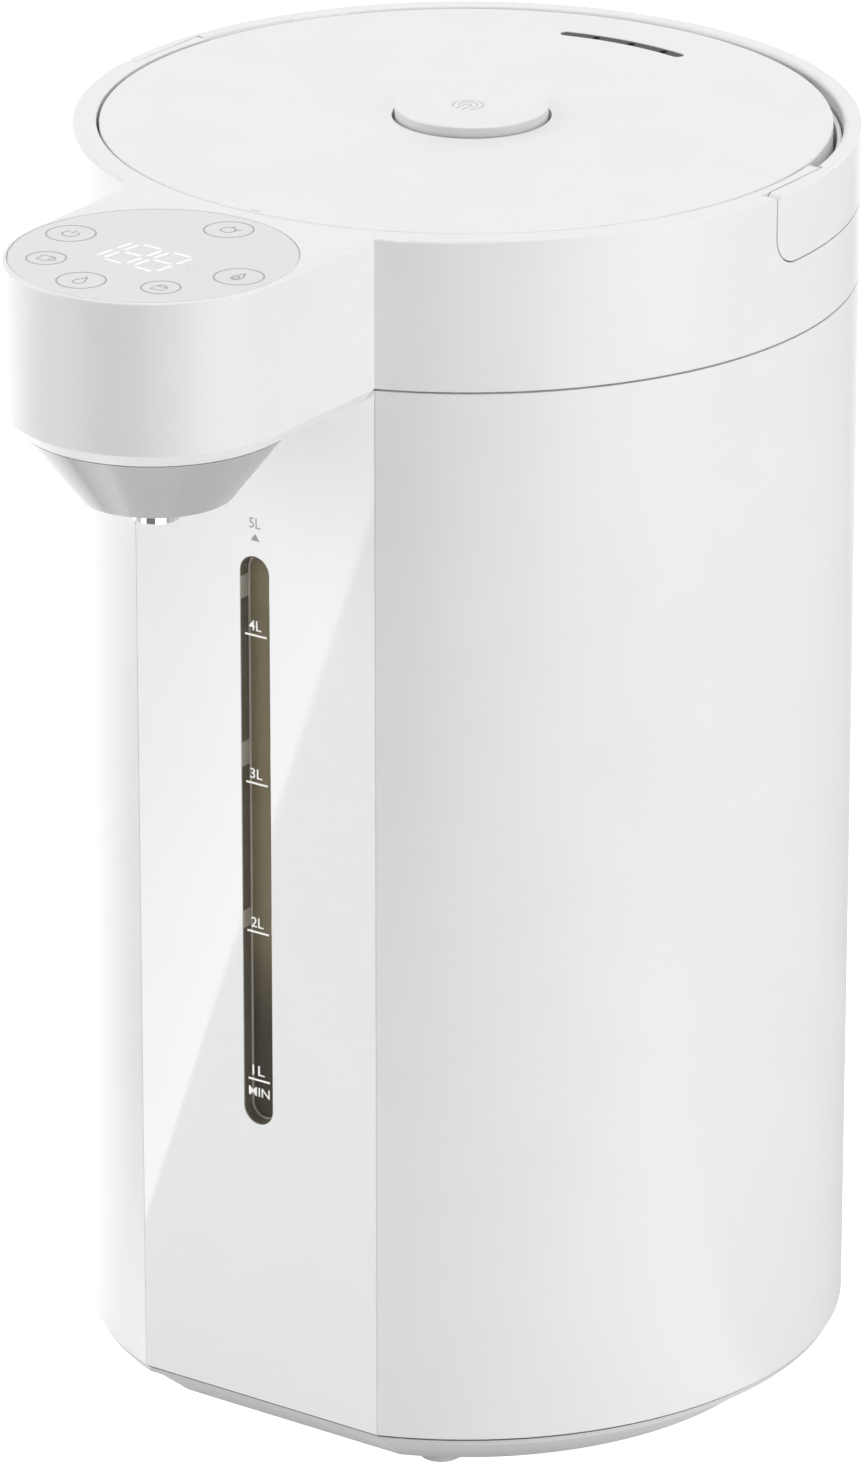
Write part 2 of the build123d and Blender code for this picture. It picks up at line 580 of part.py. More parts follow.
with BuildPart() as upper_housing:
    # Lower part of the head, in front of the panel, with a bevelled edge.
    with BuildSketch(Plane.XY.offset(HEAD_LOW)):
        head_outline(FLAT_HALF, FLAT_Y + FIT)
    extrude(amount=HEAD_FLOOR - HEAD_LOW)
    head_under = faces().sort_by(Axis.Z)[0]
    chamfer(head_under.edges().sort_by(Axis.Y)[:-1], HEAD_BEVEL_W, HEAD_BEVEL_H, reference=head_under)
    # The head and the collar round the lid.
    with BuildSketch(Plane.XY.offset(BODY_TOP)):
        head_outline(FLAT_HALF, FLAT_Y - RIM_W)
    extrude(amount=COLLAR_H)
    with BuildSketch(Plane.XY.offset(BODY_TOP)):
        Circle(BODY_R)
    extrude(amount=COLLAR_H)
    fillet(edges().group_by(Axis.Z)[-1], RIM_EDGE_R)
    # Lid opening, throat and the space under the pot shelf.
    with Locations((0, 0, SHELF_TOP)):
        Cylinder(LID_OPENING_R, COLLAR_H, align=UP, mode=Mode.SUBTRACT)
    with Locations((0, 0, BODY_TOP)):
        Cylinder(THROAT_R, COLLAR_H, align=UP, mode=Mode.SUBTRACT)
    with BuildSketch(Plane.XY.offset(BODY_TOP)):
        d_outline(SPIGOT_R - SPIGOT_WALL, SPIGOT_FLAT - SPIGOT_WALL)
    extrude(amount=HEAD_WALL, mode=Mode.SUBTRACT)
    with Locations((0, 0, HEAD_FLOOR)):
        Cylinder(BODY_R - COLLAR_WALL, SHELF_Z - HEAD_FLOOR, align=UP, mode=Mode.SUBTRACT)
    # Spigot that centres the collar in the body, notched for the hose.
    with BuildSketch(Plane.XY.offset(BODY_TOP - SPIGOT_H)):
        d_outline(SPIGOT_R, SPIGOT_FLAT)
        d_outline(SPIGOT_R - SPIGOT_WALL, SPIGOT_FLAT - SPIGOT_WALL, mode=Mode.SUBTRACT)
    extrude(amount=SPIGOT_H)
    box_between((-HOSE_NOTCH_W / 2, -FLAT_Y + FIT, BODY_TOP - SPIGOT_H),
                (HOSE_NOTCH_W / 2, -SPIGOT_FLAT + 2 * SPIGOT_WALL, HEAD_FLOOR), mode=Mode.SUBTRACT)
    # Hollow of the head and the passage from it into the collar.
    with BuildSketch(Plane.XY.offset(NECK_TOP)):
        head_outline(FLAT_HALF - HEAD_WALL, BODY_R - 2 * EASE)
    extrude(amount=RIM_Z - HEAD_TOP_T - NECK_TOP, mode=Mode.SUBTRACT)
    box_between((-PASSAGE_W / 2, -BODY_R - COLLAR_WALL, HEAD_FLOOR),
                (PASSAGE_W / 2, -BODY_R + 2 * COLLAR_WALL, SHELF_Z - 2 * SHELF_T), mode=Mode.SUBTRACT)
    # Seat of the spout cone in the underside, and the control disc's recess.
    with Locations((0, -NOSE_Y, HEAD_LOW)):
        Cylinder(CONE_NECK_R, HEAD_WALL, align=UP, mode=Mode.SUBTRACT)
    with Locations((0, -NOSE_Y, RIM_Z)):
        Cylinder(DISC_R + FIT, DISC_T + FIT, align=DOWN, mode=Mode.SUBTRACT)
        Cylinder(DISC_R - DISC_LEDGE, HEAD_TOP_T, align=DOWN, mode=Mode.SUBTRACT)
    # Space of the folded handle, with a lower wall behind it where the lid swings.
    add(handle_recess.part, mode=Mode.SUBTRACT)
    with BuildSketch(Plane.XY.offset(RIM_Z - RECESS_WALL_DROP)):
        ring_sketch(BODY_R, LID_OPENING_R - RIM_W)
        with Locations((0, PAD_BACK - 2 * BODY_R)):
            Rectangle(4 * BODY_R, 4 * BODY_R, mode=Mode.SUBTRACT)
    extrude(amount=HANDLE_H, mode=Mode.SUBTRACT)
    # Holes of the pivot pins, pocket of the lid latch.
    with Locations(Plane.YZ):
        with Locations((0, PIVOT_Z, 0)):
            Cylinder(PIVOT_PIN_R + SNUG, 2 * BODY_R, mode=Mode.SUBTRACT)
    box_between((-LATCH_W / 2 - 2 * EASE, -LATCH_TIP_Y - 2 * EASE, LATCH_LOW - EASE),
                (LATCH_W / 2 + 2 * EASE, -LID_OPENING_R + EASE, LATCH_TOP + EASE), mode=Mode.SUBTRACT)
    # Pilot holes for the clamp screws.
    with Locations(*on_circle(CLAMP_SCREW_CIRCLE, CLAMP_SCREW_ANGLES, SHELF_Z)):
        Cylinder(SMALL_SCREW_R + SNUG, SCREW_BITE + FIT, align=UP, mode=Mode.SUBTRACT)
save(upper_housing, "upper_housing")

with BuildPart() as spout_cone:
    cone_in_r = CONE_NECK_R - FIT - CONE_WALL
    with BuildSketch(Plane.XZ.offset(NOSE_Y)):
        section(
            (NOZZLE_R + FIT, CONE_END_Z), (CONE_END_R, CONE_END_Z), (CONE_TOP_R, CONE_TOP_Z),
            (CONE_NECK_R - FIT, HEAD_LOW), (CONE_NECK_R - FIT, NECK_TOP), (cone_in_r, NECK_TOP),
            (cone_in_r, CONE_TOP_Z - CONE_WALL), (CONE_END_R - CONE_WALL, NOZZLE_SEAT),
            (NOZZLE_R + FIT, NOZZLE_SEAT))
    revolve(axis=Axis((0, -NOSE_Y, 0), (0, 0, 1)))
save(spout_cone, "spout_cone")

with BuildPart() as nozzle:
    nozzle_low = CONE_END_Z - NOZZLE_DROP
    collar_top = NOZZLE_SEAT + NOZZLE_COLLAR / 2
    with BuildSketch(Plane.XZ.offset(NOSE_Y)):
        section(
            (NOZZLE_BORE_R, nozzle_low), (NOZZLE_R, nozzle_low), (NOZZLE_R, NOZZLE_SEAT),
            (NOZZLE_R + NOZZLE_COLLAR, NOZZLE_SEAT), (NOZZLE_R + NOZZLE_COLLAR, collar_top),
            (NOZZLE_R, collar_top), (TUBE_R, collar_top + NOZZLE_R - TUBE_R),
            (TUBE_R, NOZZLE_SEAT + NOZZLE_BARB), (TUBE_BORE_R, NOZZLE_SEAT + NOZZLE_BARB),
            (TUBE_BORE_R, collar_top + NOZZLE_BORE_R - TUBE_BORE_R), (NOZZLE_BORE_R, collar_top))
    revolve(axis=Axis((0, -NOSE_Y, 0), (0, 0, 1)))
save(nozzle, "nozzle")

# Hose from the top of the sight tube, over the front wall, down to the nozzle.
with BuildPart() as spout_hose:
    with BuildLine() as spout_path:
        FilletPolyline(
            (0, -TUBE_Y, TUBE_HIGH - HOSE_GRIP), (0, -TUBE_Y, HOSE_TOP_Z), (0, -NOSE_Y, HOSE_TOP_Z),
            (0, -NOSE_Y, NOZZLE_SEAT + NOZZLE_BARB - HOSE_GRIP), radius=HOSE_BEND_R)
    with BuildSketch(Plane.XY.offset(TUBE_HIGH - HOSE_GRIP)):
        with Locations((0, -TUBE_Y)):
            ring_sketch(HOSE_R, TUBE_R + SNUG)
    sweep(path=spout_path.line)
save(spout_hose, "spout_hose")

# ---------------------------------------------------------------- controls in the head
with BuildPart() as control_disc:
    with Locations((0, -NOSE_Y, RIM_Z)):
        Cylinder(DISC_R, DISC_T, align=DOWN)
    chamfer(edges().group_by(Axis.Z)[-1], DISC_T / 5)
save(control_disc, "control_disc")

with BuildPart() as display_carrier:
    with Locations((0, -NOSE_Y, CARRIER_LOW)):
        Cylinder(CARRIER_R, DISPLAY_T, align=UP)
        Box(DISPLAY_W + 2 * FIT, DISPLAY_D + 2 * FIT, DISPLAY_T, align=UP, mode=Mode.SUBTRACT)
    with Locations(*[(x, y - NOSE_Y, CARRIER_LOW) for x, y in PAD_PLACES]):
        Cylinder(PAD_R + FIT, DISPLAY_T, align=UP, mode=Mode.SUBTRACT)
save(display_carrier, "display_carrier")

with BuildPart() as display_module:
    with Locations((0, -NOSE_Y, CARRIER_LOW)):
        Box(DISPLAY_W, DISPLAY_D, DISPLAY_T - FIT, align=UP)
save(display_module, "display_module")

with BuildPart() as touch_pads:
    with Locations(*[(x, y - NOSE_Y, CARRIER_LOW) for x, y in PAD_PLACES]):
        Cylinder(PAD_R, DISPLAY_T, align=UP)
save(touch_pads, "touch_pads")

with BuildPart() as control_board:
    with Locations((0, -NOSE_Y, CARRIER_LOW)):
        Cylinder(CARRIER_R - BOARD_MARGIN, BOARD_T, align=DOWN)
    with Locations((-CHIP_SIZE, -NOSE_Y - CHIP_SIZE / 2, CARRIER_LOW - BOARD_T),
                   (CHIP_SIZE, -NOSE_Y + CHIP_SIZE / 2, CARRIER_LOW - BOARD_T)):
        Box(CHIP_SIZE, CHIP_SIZE, CHIP_T, align=DOWN)
save(control_board, "control_board")

with BuildPart() as control_screws:
    places = on_circle(CONTROL_SCREW_CIRCLE, CONTROL_SCREW_ANGLES, CARRIER_LOW - BOARD_T)
    with Locations(*[(x, y - NOSE_Y, z) for x, y, z in places]):
        Cylinder(SMALL_HEAD_R, SMALL_HEAD_T, align=DOWN)
save(control_screws, "control_screws")

# ---------------------------------------------------------------- inner pot and its seat
with BuildPart() as inner_pot:
    with BuildSketch(Plane.XZ):
        section(
            (0, POT_BASE), (POT_OUT_R, POT_BASE), (POT_OUT_R, FLANGE_LOW), (POT_FLANGE_R, FLANGE_LOW),
            (POT_FLANGE_R, FLANGE_TOP), (POT_R, FLANGE_TOP), (POT_R, POT_FLOOR), (0, POT_FLOOR))
        fillet(vertices().sort_by_distance((POT_OUT_R, POT_BASE))[0], POT_CORNER_R + POT_WALL)
        fillet(vertices().sort_by_distance((POT_R, POT_FLOOR))[0], POT_CORNER_R)
    revolve(axis=Axis.Z)
    with Locations((PUMP_X, PUMP_Y, POT_BASE)):
        Cylinder(OUTLET_R + SNUG, POT_FLOOR_T, align=UP, mode=Mode.SUBTRACT)
save(inner_pot, "inner_pot")

with BuildPart() as pot_seal:
    with BuildSketch(Plane.XY.offset(FLANGE_TOP)):
        ring_sketch(POT_FLANGE_R, POT_R)
    extrude(amount=SEAL_T)
save(pot_seal, "pot_seal")

with BuildPart() as clamp_ring:
    with BuildSketch(Plane.XY.offset(CLAMP_LOW)):
        ring_sketch(CLAMP_R, POT_OUT_R + EASE)
    extrude(amount=CLAMP_T)
    with BuildSketch(Plane.XY.offset(FLANGE_LOW)):
        ring_sketch(CLAMP_R, POT_FLANGE_R + FIT)
    extrude(amount=SHELF_Z - FLANGE_LOW)
    with Locations(*on_circle(CLAMP_SCREW_CIRCLE, CLAMP_SCREW_ANGLES, CLAMP_LOW)):
        Cylinder(SMALL_SCREW_R + SNUG, SHELF_Z - CLAMP_LOW, align=UP, mode=Mode.SUBTRACT)
save(clamp_ring, "clamp_ring")

with BuildPart() as clamp_screws:
    with Locations(*on_circle(CLAMP_SCREW_CIRCLE, CLAMP_SCREW_ANGLES, CLAMP_LOW)):
        Cylinder(SMALL_SCREW_R, SHELF_Z + SCREW_BITE - CLAMP_LOW, align=UP)
        Cylinder(SMALL_HEAD_R, SMALL_HEAD_T, align=DOWN)
save(clamp_screws, "clamp_screws")

with BuildPart() as insulation_sleeve:
    with BuildSketch(Plane.XY.offset(SLEEVE_LOW)):
        ring_sketch(SLEEVE_IN_R + SLEEVE_T, SLEEVE_IN_R)
        # Cut off flat behind the front wall, and open at the sight tube.
        with Locations((0, -SHELL_IN_FLAT + SLEEVE_GAP - BODY_R / 2)):
            Rectangle(2 * BODY_R, BODY_R, mode=Mode.SUBTRACT)
        with Locations((0, -SLEEVE_IN_R)):
            Rectangle(SLEEVE_OPEN_W, SLEEVE_IN_R, mode=Mode.SUBTRACT)
    extrude(amount=SLEEVE_HIGH - SLEEVE_LOW)
save(insulation_sleeve, "insulation_sleeve")

# ---------------------------------------------------------------- heater
with BuildPart() as heating_plate:
    with Locations((0, 0, PLATE_LOW)):
        Cylinder(PLATE_R, PLATE_T, align=UP)
save(heating_plate, "heating_plate")

with BuildPart() as heating_element:
    with BuildSketch(Plane.XZ.rotated((0, 0, ELEMENT_OPEN_DEG / 2 - 90))):
        with Locations((ELEMENT_R, ELEMENT_Z)):
            Circle(ELEMENT_BAR_R)
    revolve(axis=Axis.Z, revolution_arc=360 - ELEMENT_OPEN_DEG)
    # Connection pins at both ends.
    pin_turn = math.degrees(ELEMENT_BAR_R / ELEMENT_R)
    pin_angles = [-90 + side * (ELEMENT_OPEN_DEG / 2 + pin_turn) for side in (-1, 1)]
    with Locations(*on_circle(ELEMENT_R, pin_angles, ELEMENT_Z)):
        Cylinder(ELEMENT_PIN_R, ELEMENT_PIN_H, align=DOWN)
save(heating_element, "heating_element")

with BuildPart() as temperature_sensor:
    with Locations((0, 0, PLATE_LOW)):
        Cylinder(SENSOR_R, SENSOR_H, align=DOWN)
        Cylinder(SENSOR_R + SENSOR_FLANGE_W, TAB_T, align=DOWN)
save(temperature_sensor, "temperature_sensor")

with BuildPart() as thermal_cutouts:
    with Locations((CUTOUT_X, 0, PLATE_LOW), (-CUTOUT_X, 0, PLATE_LOW)):
        Cylinder(CUTOUT_R, CUTOUT_H, align=DOWN)
        Box(CUTOUT_EAR_W, 2 * (CUTOUT_R + CUTOUT_EAR_W), TAB_T, align=DOWN)
save(thermal_cutouts, "thermal_cutouts")

# ---------------------------------------------------------------- pump
with BuildPart() as pot_outlet:
    with Locations((PUMP_X, PUMP_Y, POT_BASE)):
        Cylinder(2 * OUTLET_R, OUTLET_FLANGE_T, align=DOWN)
    with Locations((PUMP_X, PUMP_Y, POT_BASE - OUTLET_H)):
        Cylinder(OUTLET_R, OUTLET_H + POT_FLOOR_T, align=UP)
        Cylinder(OUTLET_BORE_R, OUTLET_H + POT_FLOOR_T, align=UP, mode=Mode.SUBTRACT)
save(pot_outlet, "pot_outlet")

with BuildPart() as pump_head:
    with Locations((PUMP_X, PUMP_Y, PUMP_LOW)):
        Cylinder(PUMP_R, PUMP_H, align=UP)
        Cylinder(OUTLET_R, PUMP_H + INLET_STUB_H, align=UP)
    with Locations(Plane.YZ.offset(PUMP_X)):
        with Locations((BARB_Y, BARB_Z, 0)):
            Cylinder(TUBE_R, PUMP_R + BARB_LEN, align=UP)
    with Locations((PUMP_X, PUMP_Y, PUMP_LOW)):
        Cylinder(CHAMBER_R, CHAMBER_H, align=UP, mode=Mode.SUBTRACT)
        Cylinder(OUTLET_BORE_R, PUMP_H + INLET_STUB_H, align=UP, mode=Mode.SUBTRACT)
    with Locations(Plane.YZ.offset(PUMP_X)):
        with Locations((BARB_Y, BARB_Z, 0)):
            Cylinder(TUBE_BORE_R, PUMP_R + BARB_LEN, align=UP, mode=Mode.SUBTRACT)
save(pump_head, "pump_head")

with BuildPart() as pump_motor:
    with Locations((PUMP_X, PUMP_Y, PUMP_LOW)):
        Cylinder(MOTOR_R, PUMP_LOW - MOTOR_LOW, align=DOWN)
        Cylinder(PUMP_R, PUMP_FLANGE_T, align=DOWN)
        Cylinder(SHAFT_R + RUN, SHAFT_DEPTH + EASE, align=DOWN, mode=Mode.SUBTRACT)
save(pump_motor, "pump_motor")

impeller_h = CHAMBER_H - 2 * IMPELLER_GAP
with BuildPart() as pump_shaft:
    with Locations((PUMP_X, PUMP_Y, PUMP_LOW - SHAFT_DEPTH)):
        Cylinder(SHAFT_R, SHAFT_DEPTH + IMPELLER_GAP + impeller_h, align=UP)
save(pump_shaft, "pump_shaft")

with BuildPart() as pump_impeller:
    with Locations((PUMP_X, PUMP_Y, PUMP_LOW + IMPELLER_GAP)):
        Cylinder(IMPELLER_R, IMPELLER_DISC_T, align=UP)
        Cylinder(IMPELLER_HUB_R, impeller_h, align=UP)
        with PolarLocations(IMPELLER_R / 2, VANE_COUNT):
            Box(IMPELLER_R - 2 * EASE, VANE_T, impeller_h - VANE_T, align=UP)
        Cylinder(SHAFT_R + SNUG, impeller_h, align=UP, mode=Mode.SUBTRACT)
save(pump_impeller, "pump_impeller")

with BuildPart() as pump_cradle:
    with Locations((PUMP_X, PUMP_Y, BASE_FLOOR)):
        Cylinder(MOTOR_R + CRADLE_WALL, CRADLE_H, align=UP)
    with Locations((PUMP_X, PUMP_Y, MOTOR_LOW)):
        Cylinder(MOTOR_R + FIT, CRADLE_H, align=UP, mode=Mode.SUBTRACT)
save(pump_cradle, "pump_cradle")

with BuildPart() as suction_hose:
    suction_low = PUMP_TOP + HOSE_END_GAP
    suction_high = POT_BASE - OUTLET_FLANGE_T - HOSE_END_GAP
    with BuildSketch(Plane.XY.offset(suction_low)):
        with Locations((PUMP_X, PUMP_Y)):
            ring_sketch(OUTLET_R + SUCTION_WALL, OUTLET_R + SNUG)
    extrude(amount=suction_high - suction_low)
save(suction_hose, "suction_hose")

# Hose from the pump's outlet barb to the lower end of the sight tube.
with BuildPart() as delivery_hose:
    hose_start = BARB_TIP_X - HOSE_GRIP
    with BuildLine() as delivery_path:
        FilletPolyline(
            (hose_start, BARB_Y, BARB_Z), (0, BARB_Y, BARB_Z), (0, -TUBE_Y, BARB_Z),
            (0, -TUBE_Y, TUBE_LOW + HOSE_GRIP), radius=DELIVERY_BEND_R)
    with BuildSketch(Plane.YZ.offset(hose_start)):
        with Locations((BARB_Y, BARB_Z)):
            ring_sketch(HOSE_R, TUBE_R + SNUG)
    sweep(path=delivery_path.line)
save(delivery_hose, "delivery_hose")

with BuildPart() as hose_clamps:
    band_in = OUTLET_R + SUCTION_WALL + SNUG
    for band_low in (suction_low + HOSE_END_GAP, suction_high - HOSE_END_GAP - CLAMP_BAND_H):
        with BuildSketch(Plane.XY.offset(band_low)):
            with Locations((PUMP_X, PUMP_Y)):
                ring_sketch(band_in + CLAMP_BAND_T, band_in)
        extrude(amount=CLAMP_BAND_H)
save(hose_clamps, "hose_clamps")

# ---------------------------------------------------------------- base
with BuildPart() as base_cover:
    taper_h = BASE_TAPER_TOP - BASE_LOW
    taper_deg = math.degrees(math.atan(BASE_FLANK_W / taper_h))
    with BuildSketch(Plane.XY.offset(BASE_TAPER_TOP)):
        d_outline(BASE_TAPER_R, BASE_TAPER_R - BODY_R + FLAT_Y)
    extrude(amount=-taper_h, taper=taper_deg)
    with BuildSketch(Plane.XY.offset(BASE_TAPER_TOP)):
        d_outline(BASE_LIP_R, BASE_LIP_R - BODY_R + FLAT_Y)
    extrude(amount=BASE_LIP_T)
    with BuildSketch(Plane.XY.offset(BASE_LIP_TOP)):
        d_outline(SPIGOT_R, SPIGOT_FLAT)
    extrude(amount=BASE_SPIGOT_H)
    # Hollow, following the flank.
    spigot_in = SPIGOT_R - BASE_WALL
    spigot_in_flat = SPIGOT_FLAT - BASE_WALL
    with BuildSketch(Plane.XY.offset(BASE_TAPER_TOP)):
        d_outline(spigot_in, spigot_in_flat)
    extrude(amount=BASE_LIP_T + BASE_SPIGOT_H, mode=Mode.SUBTRACT)
    with BuildSketch(Plane.XY.offset(BASE_TAPER_TOP)):
        d_outline(spigot_in, spigot_in_flat)
    extrude(amount=BASE_FLOOR - BASE_TAPER_TOP, taper=taper_deg, mode=Mode.SUBTRACT)
    # Posts for the screws, recesses for the screw heads and the feet.
    with Locations(*on_circle(POST_CIRCLE, POST_ANGLES, BASE_LOW + BASE_FLOOR_T / 2)):
        Cylinder(POST_R, BOSS_LOW - BASE_LOW - BASE_FLOOR_T / 2, align=UP)
    with Locations(*on_circle(POST_CIRCLE, POST_ANGLES, BASE_LOW)):
        Cylinder(SCREW_HEAD_R + FIT, SCREW_SEAT, align=UP, mode=Mode.SUBTRACT)
        Cylinder(SCREW_R + SNUG, BOSS_LOW, align=UP, mode=Mode.SUBTRACT)
    with Locations(*on_circle(FOOT_CIRCLE, FOOT_ANGLES, BASE_LOW)):
        Cylinder(FOOT_R + SNUG, FOOT_SEAT, align=UP, mode=Mode.SUBTRACT)
    # Ventilation slots in the floor.
    with BuildSketch(Plane.XY.offset(BASE_LOW)):
        with GridLocations(VENT_PITCH, 0, VENT_COUNT, 1):
            SlotOverall(VENT_LEN, VENT_W, rotation=90)
    extrude(amount=BASE_FLOOR_T, mode=Mode.SUBTRACT)
save(base_cover, "base_cover")

with BuildPart() as base_screws:
    with Locations(*on_circle(POST_CIRCLE, POST_ANGLES, SCREW_TOP)):
        Cylinder(SCREW_HEAD_R, SCREW_HEAD_T, align=DOWN)
        Cylinder(SCREW_R, BOSS_LOW + SCREW_REACH - SCREW_TOP, align=UP)
save(base_screws, "base_screws")

with BuildPart() as feet:
    with Locations(*on_circle(FOOT_CIRCLE, FOOT_ANGLES)):
        Cylinder(FOOT_R, BASE_LOW + FOOT_SEAT, align=UP)
    fillet(edges().group_by(Axis.Z)[0], FOOT_EDGE_R)
save(feet, "feet")

# ---------------------------------------------------------------- power
with BuildPart() as power_inlet:
    box_between((-INLET_W / 2, BODY_R - INLET_DEPTH, INLET_Z - INLET_H / 2),
                (INLET_W / 2, BODY_R, INLET_Z + INLET_H / 2))
    with Locations((0, 0, INLET_Z)):
        Cylinder(BODY_R - FIT, INLET_H, mode=Mode.INTERSECT)
    box_between((-INLET_W / 2 + INLET_WALL, SOCKET_FLOOR_Y, INLET_Z - INLET_H / 2 + INLET_WALL),
                (INLET_W / 2 - INLET_WALL, BODY_R, INLET_Z + INLET_H / 2 - INLET_WALL), mode=Mode.SUBTRACT)
save(power_inlet, "power_inlet")

with BuildPart() as inlet_pins:
    for x, z in PIN_PLACES:
        box_between((x - PIN_W / 2, SOCKET_FLOOR_Y, INLET_Z + z - PIN_H / 2),
                    (x + PIN_W / 2, SOCKET_FLOOR_Y + PIN_LENGTH, INLET_Z + z + PIN_H / 2))
save(inlet_pins, "inlet_pins")

with BuildPart() as power_board:
    with Locations((BOARD_X, BOARD_Y, BOARD_Z)):
        Box(BOARD_W, BOARD_D, BOARD_T, align=UP)
save(power_board, "power_board")

standoff_x = BOARD_W / 2 - STANDOFF_INSET
standoff_y = BOARD_D / 2 - STANDOFF_INSET
standoffs = [(BOARD_X + i * standoff_x, BOARD_Y + j * standoff_y) for i in (-1, 1) for j in (-1, 1)]
with BuildPart() as board_standoffs:
    with Locations(*[(x, y, BASE_FLOOR) for x, y in standoffs]):
        Cylinder(STANDOFF_R, BOARD_LIFT, align=UP)
save(board_standoffs, "board_standoffs")

with BuildPart() as board_screws:
    with Locations(*[(x, y, BOARD_TOP) for x, y in standoffs]):
        Cylinder(SMALL_HEAD_R, SMALL_HEAD_T, align=UP)
save(board_screws, "board_screws")

# What stands on the board: sizes, and places from its middle.
TRANSFORMER = ((24.0, 26.0, 19.0), (24.0, 6.0))
RELAY = ((20.0, 14.0, 15.0), (-4.0, -12.0))
HEAT_SINK = ((6.0, 30.0, 20.0), (-27.0, 4.0))
TERMINALS = ((26.0, 9.0, 10.0), (20.0, -20.0))
CAPACITOR_R = 4.5
CAPACITOR_H = 16.0
CAPACITOR_PLACES = ((-8.0, 12.0), (4.0, 16.0))
with BuildPart() as board_components:
    for (wide, deep, high), (x, y) in (TRANSFORMER, RELAY, HEAT_SINK, TERMINALS):
        with Locations((BOARD_X + x, BOARD_Y + y, BOARD_TOP)):
            Box(wide, deep, high, align=UP)
    with Locations(*[(BOARD_X + x, BOARD_Y + y, BOARD_TOP) for x, y in CAPACITOR_PLACES]):
        Cylinder(CAPACITOR_R, CAPACITOR_H, align=UP)
save(board_components, "board_components")

# ---------------------------------------------------------------- lid
with BuildPart() as lid_top:
    # Plate and skirt; the skirt is cut away round the hinge.
    with BuildSketch(Plane.XZ.offset(LID_SHIFT)):
        section(
            (0, LID_UNDER), (LID_R - SKIRT_T, LID_UNDER), (LID_R - SKIRT_T, SKIRT_LOW),
            (LID_R, SKIRT_LOW), (LID_R, RIM_Z), (0, RIM_Z))
    revolve(axis=Axis((0, -LID_SHIFT, 0), (0, 0, 1)))
    fillet(edges().group_by(Axis.Z)[-1], LID_EDGE_R)
    box_between((-LID_R, HINGE_Y - SKIRT_CUT, SKIRT_LOW - 1), (LID_R, LID_R + 1, LID_UNDER),
                mode=Mode.SUBTRACT)
    # Well of the button, with a floor for its springs.
    with Locations((0, BUTTON_Y, WELL_FLOOR)):
        Cylinder(WELL_R + WELL_WALL, LID_UNDER - WELL_FLOOR, align=UP)
        Cylinder(WELL_R, WELL_DEPTH, align=UP, mode=Mode.SUBTRACT)
        Cylinder(WELL_R + WELL_WALL, WELL_FLOOR_T, align=DOWN)
    # Steam slit.
    with BuildSketch(Plane.XY.offset(LID_UNDER)):
        SlotArc(CenterArc((0, 0), SLIT_R, SLIT_START_DEG, 2 * SLIT_HALF_DEG), SLIT_W)
    extrude(amount=LID_T, mode=Mode.SUBTRACT)
    # Ways of the latch through the skirt and the well.
    for way_front, way_back in ((-LATCH_TIP_Y, SKIRT_T - LID_R + EASE),
                                (BUTTON_Y - WELL_R - WELL_WALL - EASE, LATCH_BACK + BUTTON_TRAVEL + EASE)):
        box_between((-LATCH_W / 2 - EASE, way_front, LATCH_LOW - EASE),
                    (LATCH_W / 2 + EASE, way_back, LATCH_TOP + EASE), mode=Mode.SUBTRACT)
    # Rails with a lip that carry the latch, from the lid's underside.
    with BuildSketch(Plane.XZ.offset(RAIL_BACK)):
        for side in (-1, 1):
            with Locations((side * (LATCH_W / 2 + EASE + RAIL_T / 2), (RAIL_LOW + LID_UNDER) / 2)):
                Rectangle(RAIL_T, LID_UNDER - RAIL_LOW)
            with Locations((side * (LATCH_W / 2 + EASE), RAIL_LOW + RAIL_LIP_T / 2)):
                Rectangle(2 * (RAIL_T - EASE), RAIL_LIP_T)
    extrude(amount=LID_R - RAIL_SHORT - RAIL_BACK)
    # Knuckles of the hinge, and pockets over the fixed ears.
    ear_in = EAR_X - EAR_T / 2
    ear_out = EAR_X + EAR_T / 2
    for side in (-1, 1):
        for low, high in ((KNUCKLE_X, ear_in - KNUCKLE_GAP), (ear_out + KNUCKLE_GAP, KNUCKLE_END)):
            with BuildSketch(Plane.YZ.offset(side * low)):
                with Locations((HINGE_Y, HINGE_Z)):
                    Circle(KNUCKLE_R)
                with Locations((HINGE_Y, (HINGE_Z + LID_UNDER) / 2 + EASE)):
                    Rectangle(2 * KNUCKLE_R, LID_UNDER - HINGE_Z + 2 * EASE)
            extrude(amount=side * (high - low))
        ear_low, ear_high = sorted((side * ear_in, side * ear_out))
        box_between((ear_low - EASE, HINGE_Y - EAR_R - EASE, LID_UNDER),
                    (ear_high + EASE, HINGE_Y + EAR_R + EASE, HINGE_Z + EAR_R + SNUG), mode=Mode.SUBTRACT)
    with Locations(Plane.YZ):
        with Locations((HINGE_Y, HINGE_Z, 0)):
            Cylinder(HINGE_PIN_R + SNUG, 2 * (KNUCKLE_END + EASE), mode=Mode.SUBTRACT)
    # Bosses for the liner's screws.
    with Locations(*on_circle(LINER_SCREW_CIRCLE, LINER_SCREW_ANGLES, LINER_TOP)):
        Cylinder(LINER_BOSS_R, LID_UNDER - LINER_TOP, align=UP)
        Cylinder(SMALL_SCREW_R + SNUG, SCREW_BITE + FIT, align=UP, mode=Mode.SUBTRACT)
save(lid_top, "lid_top")

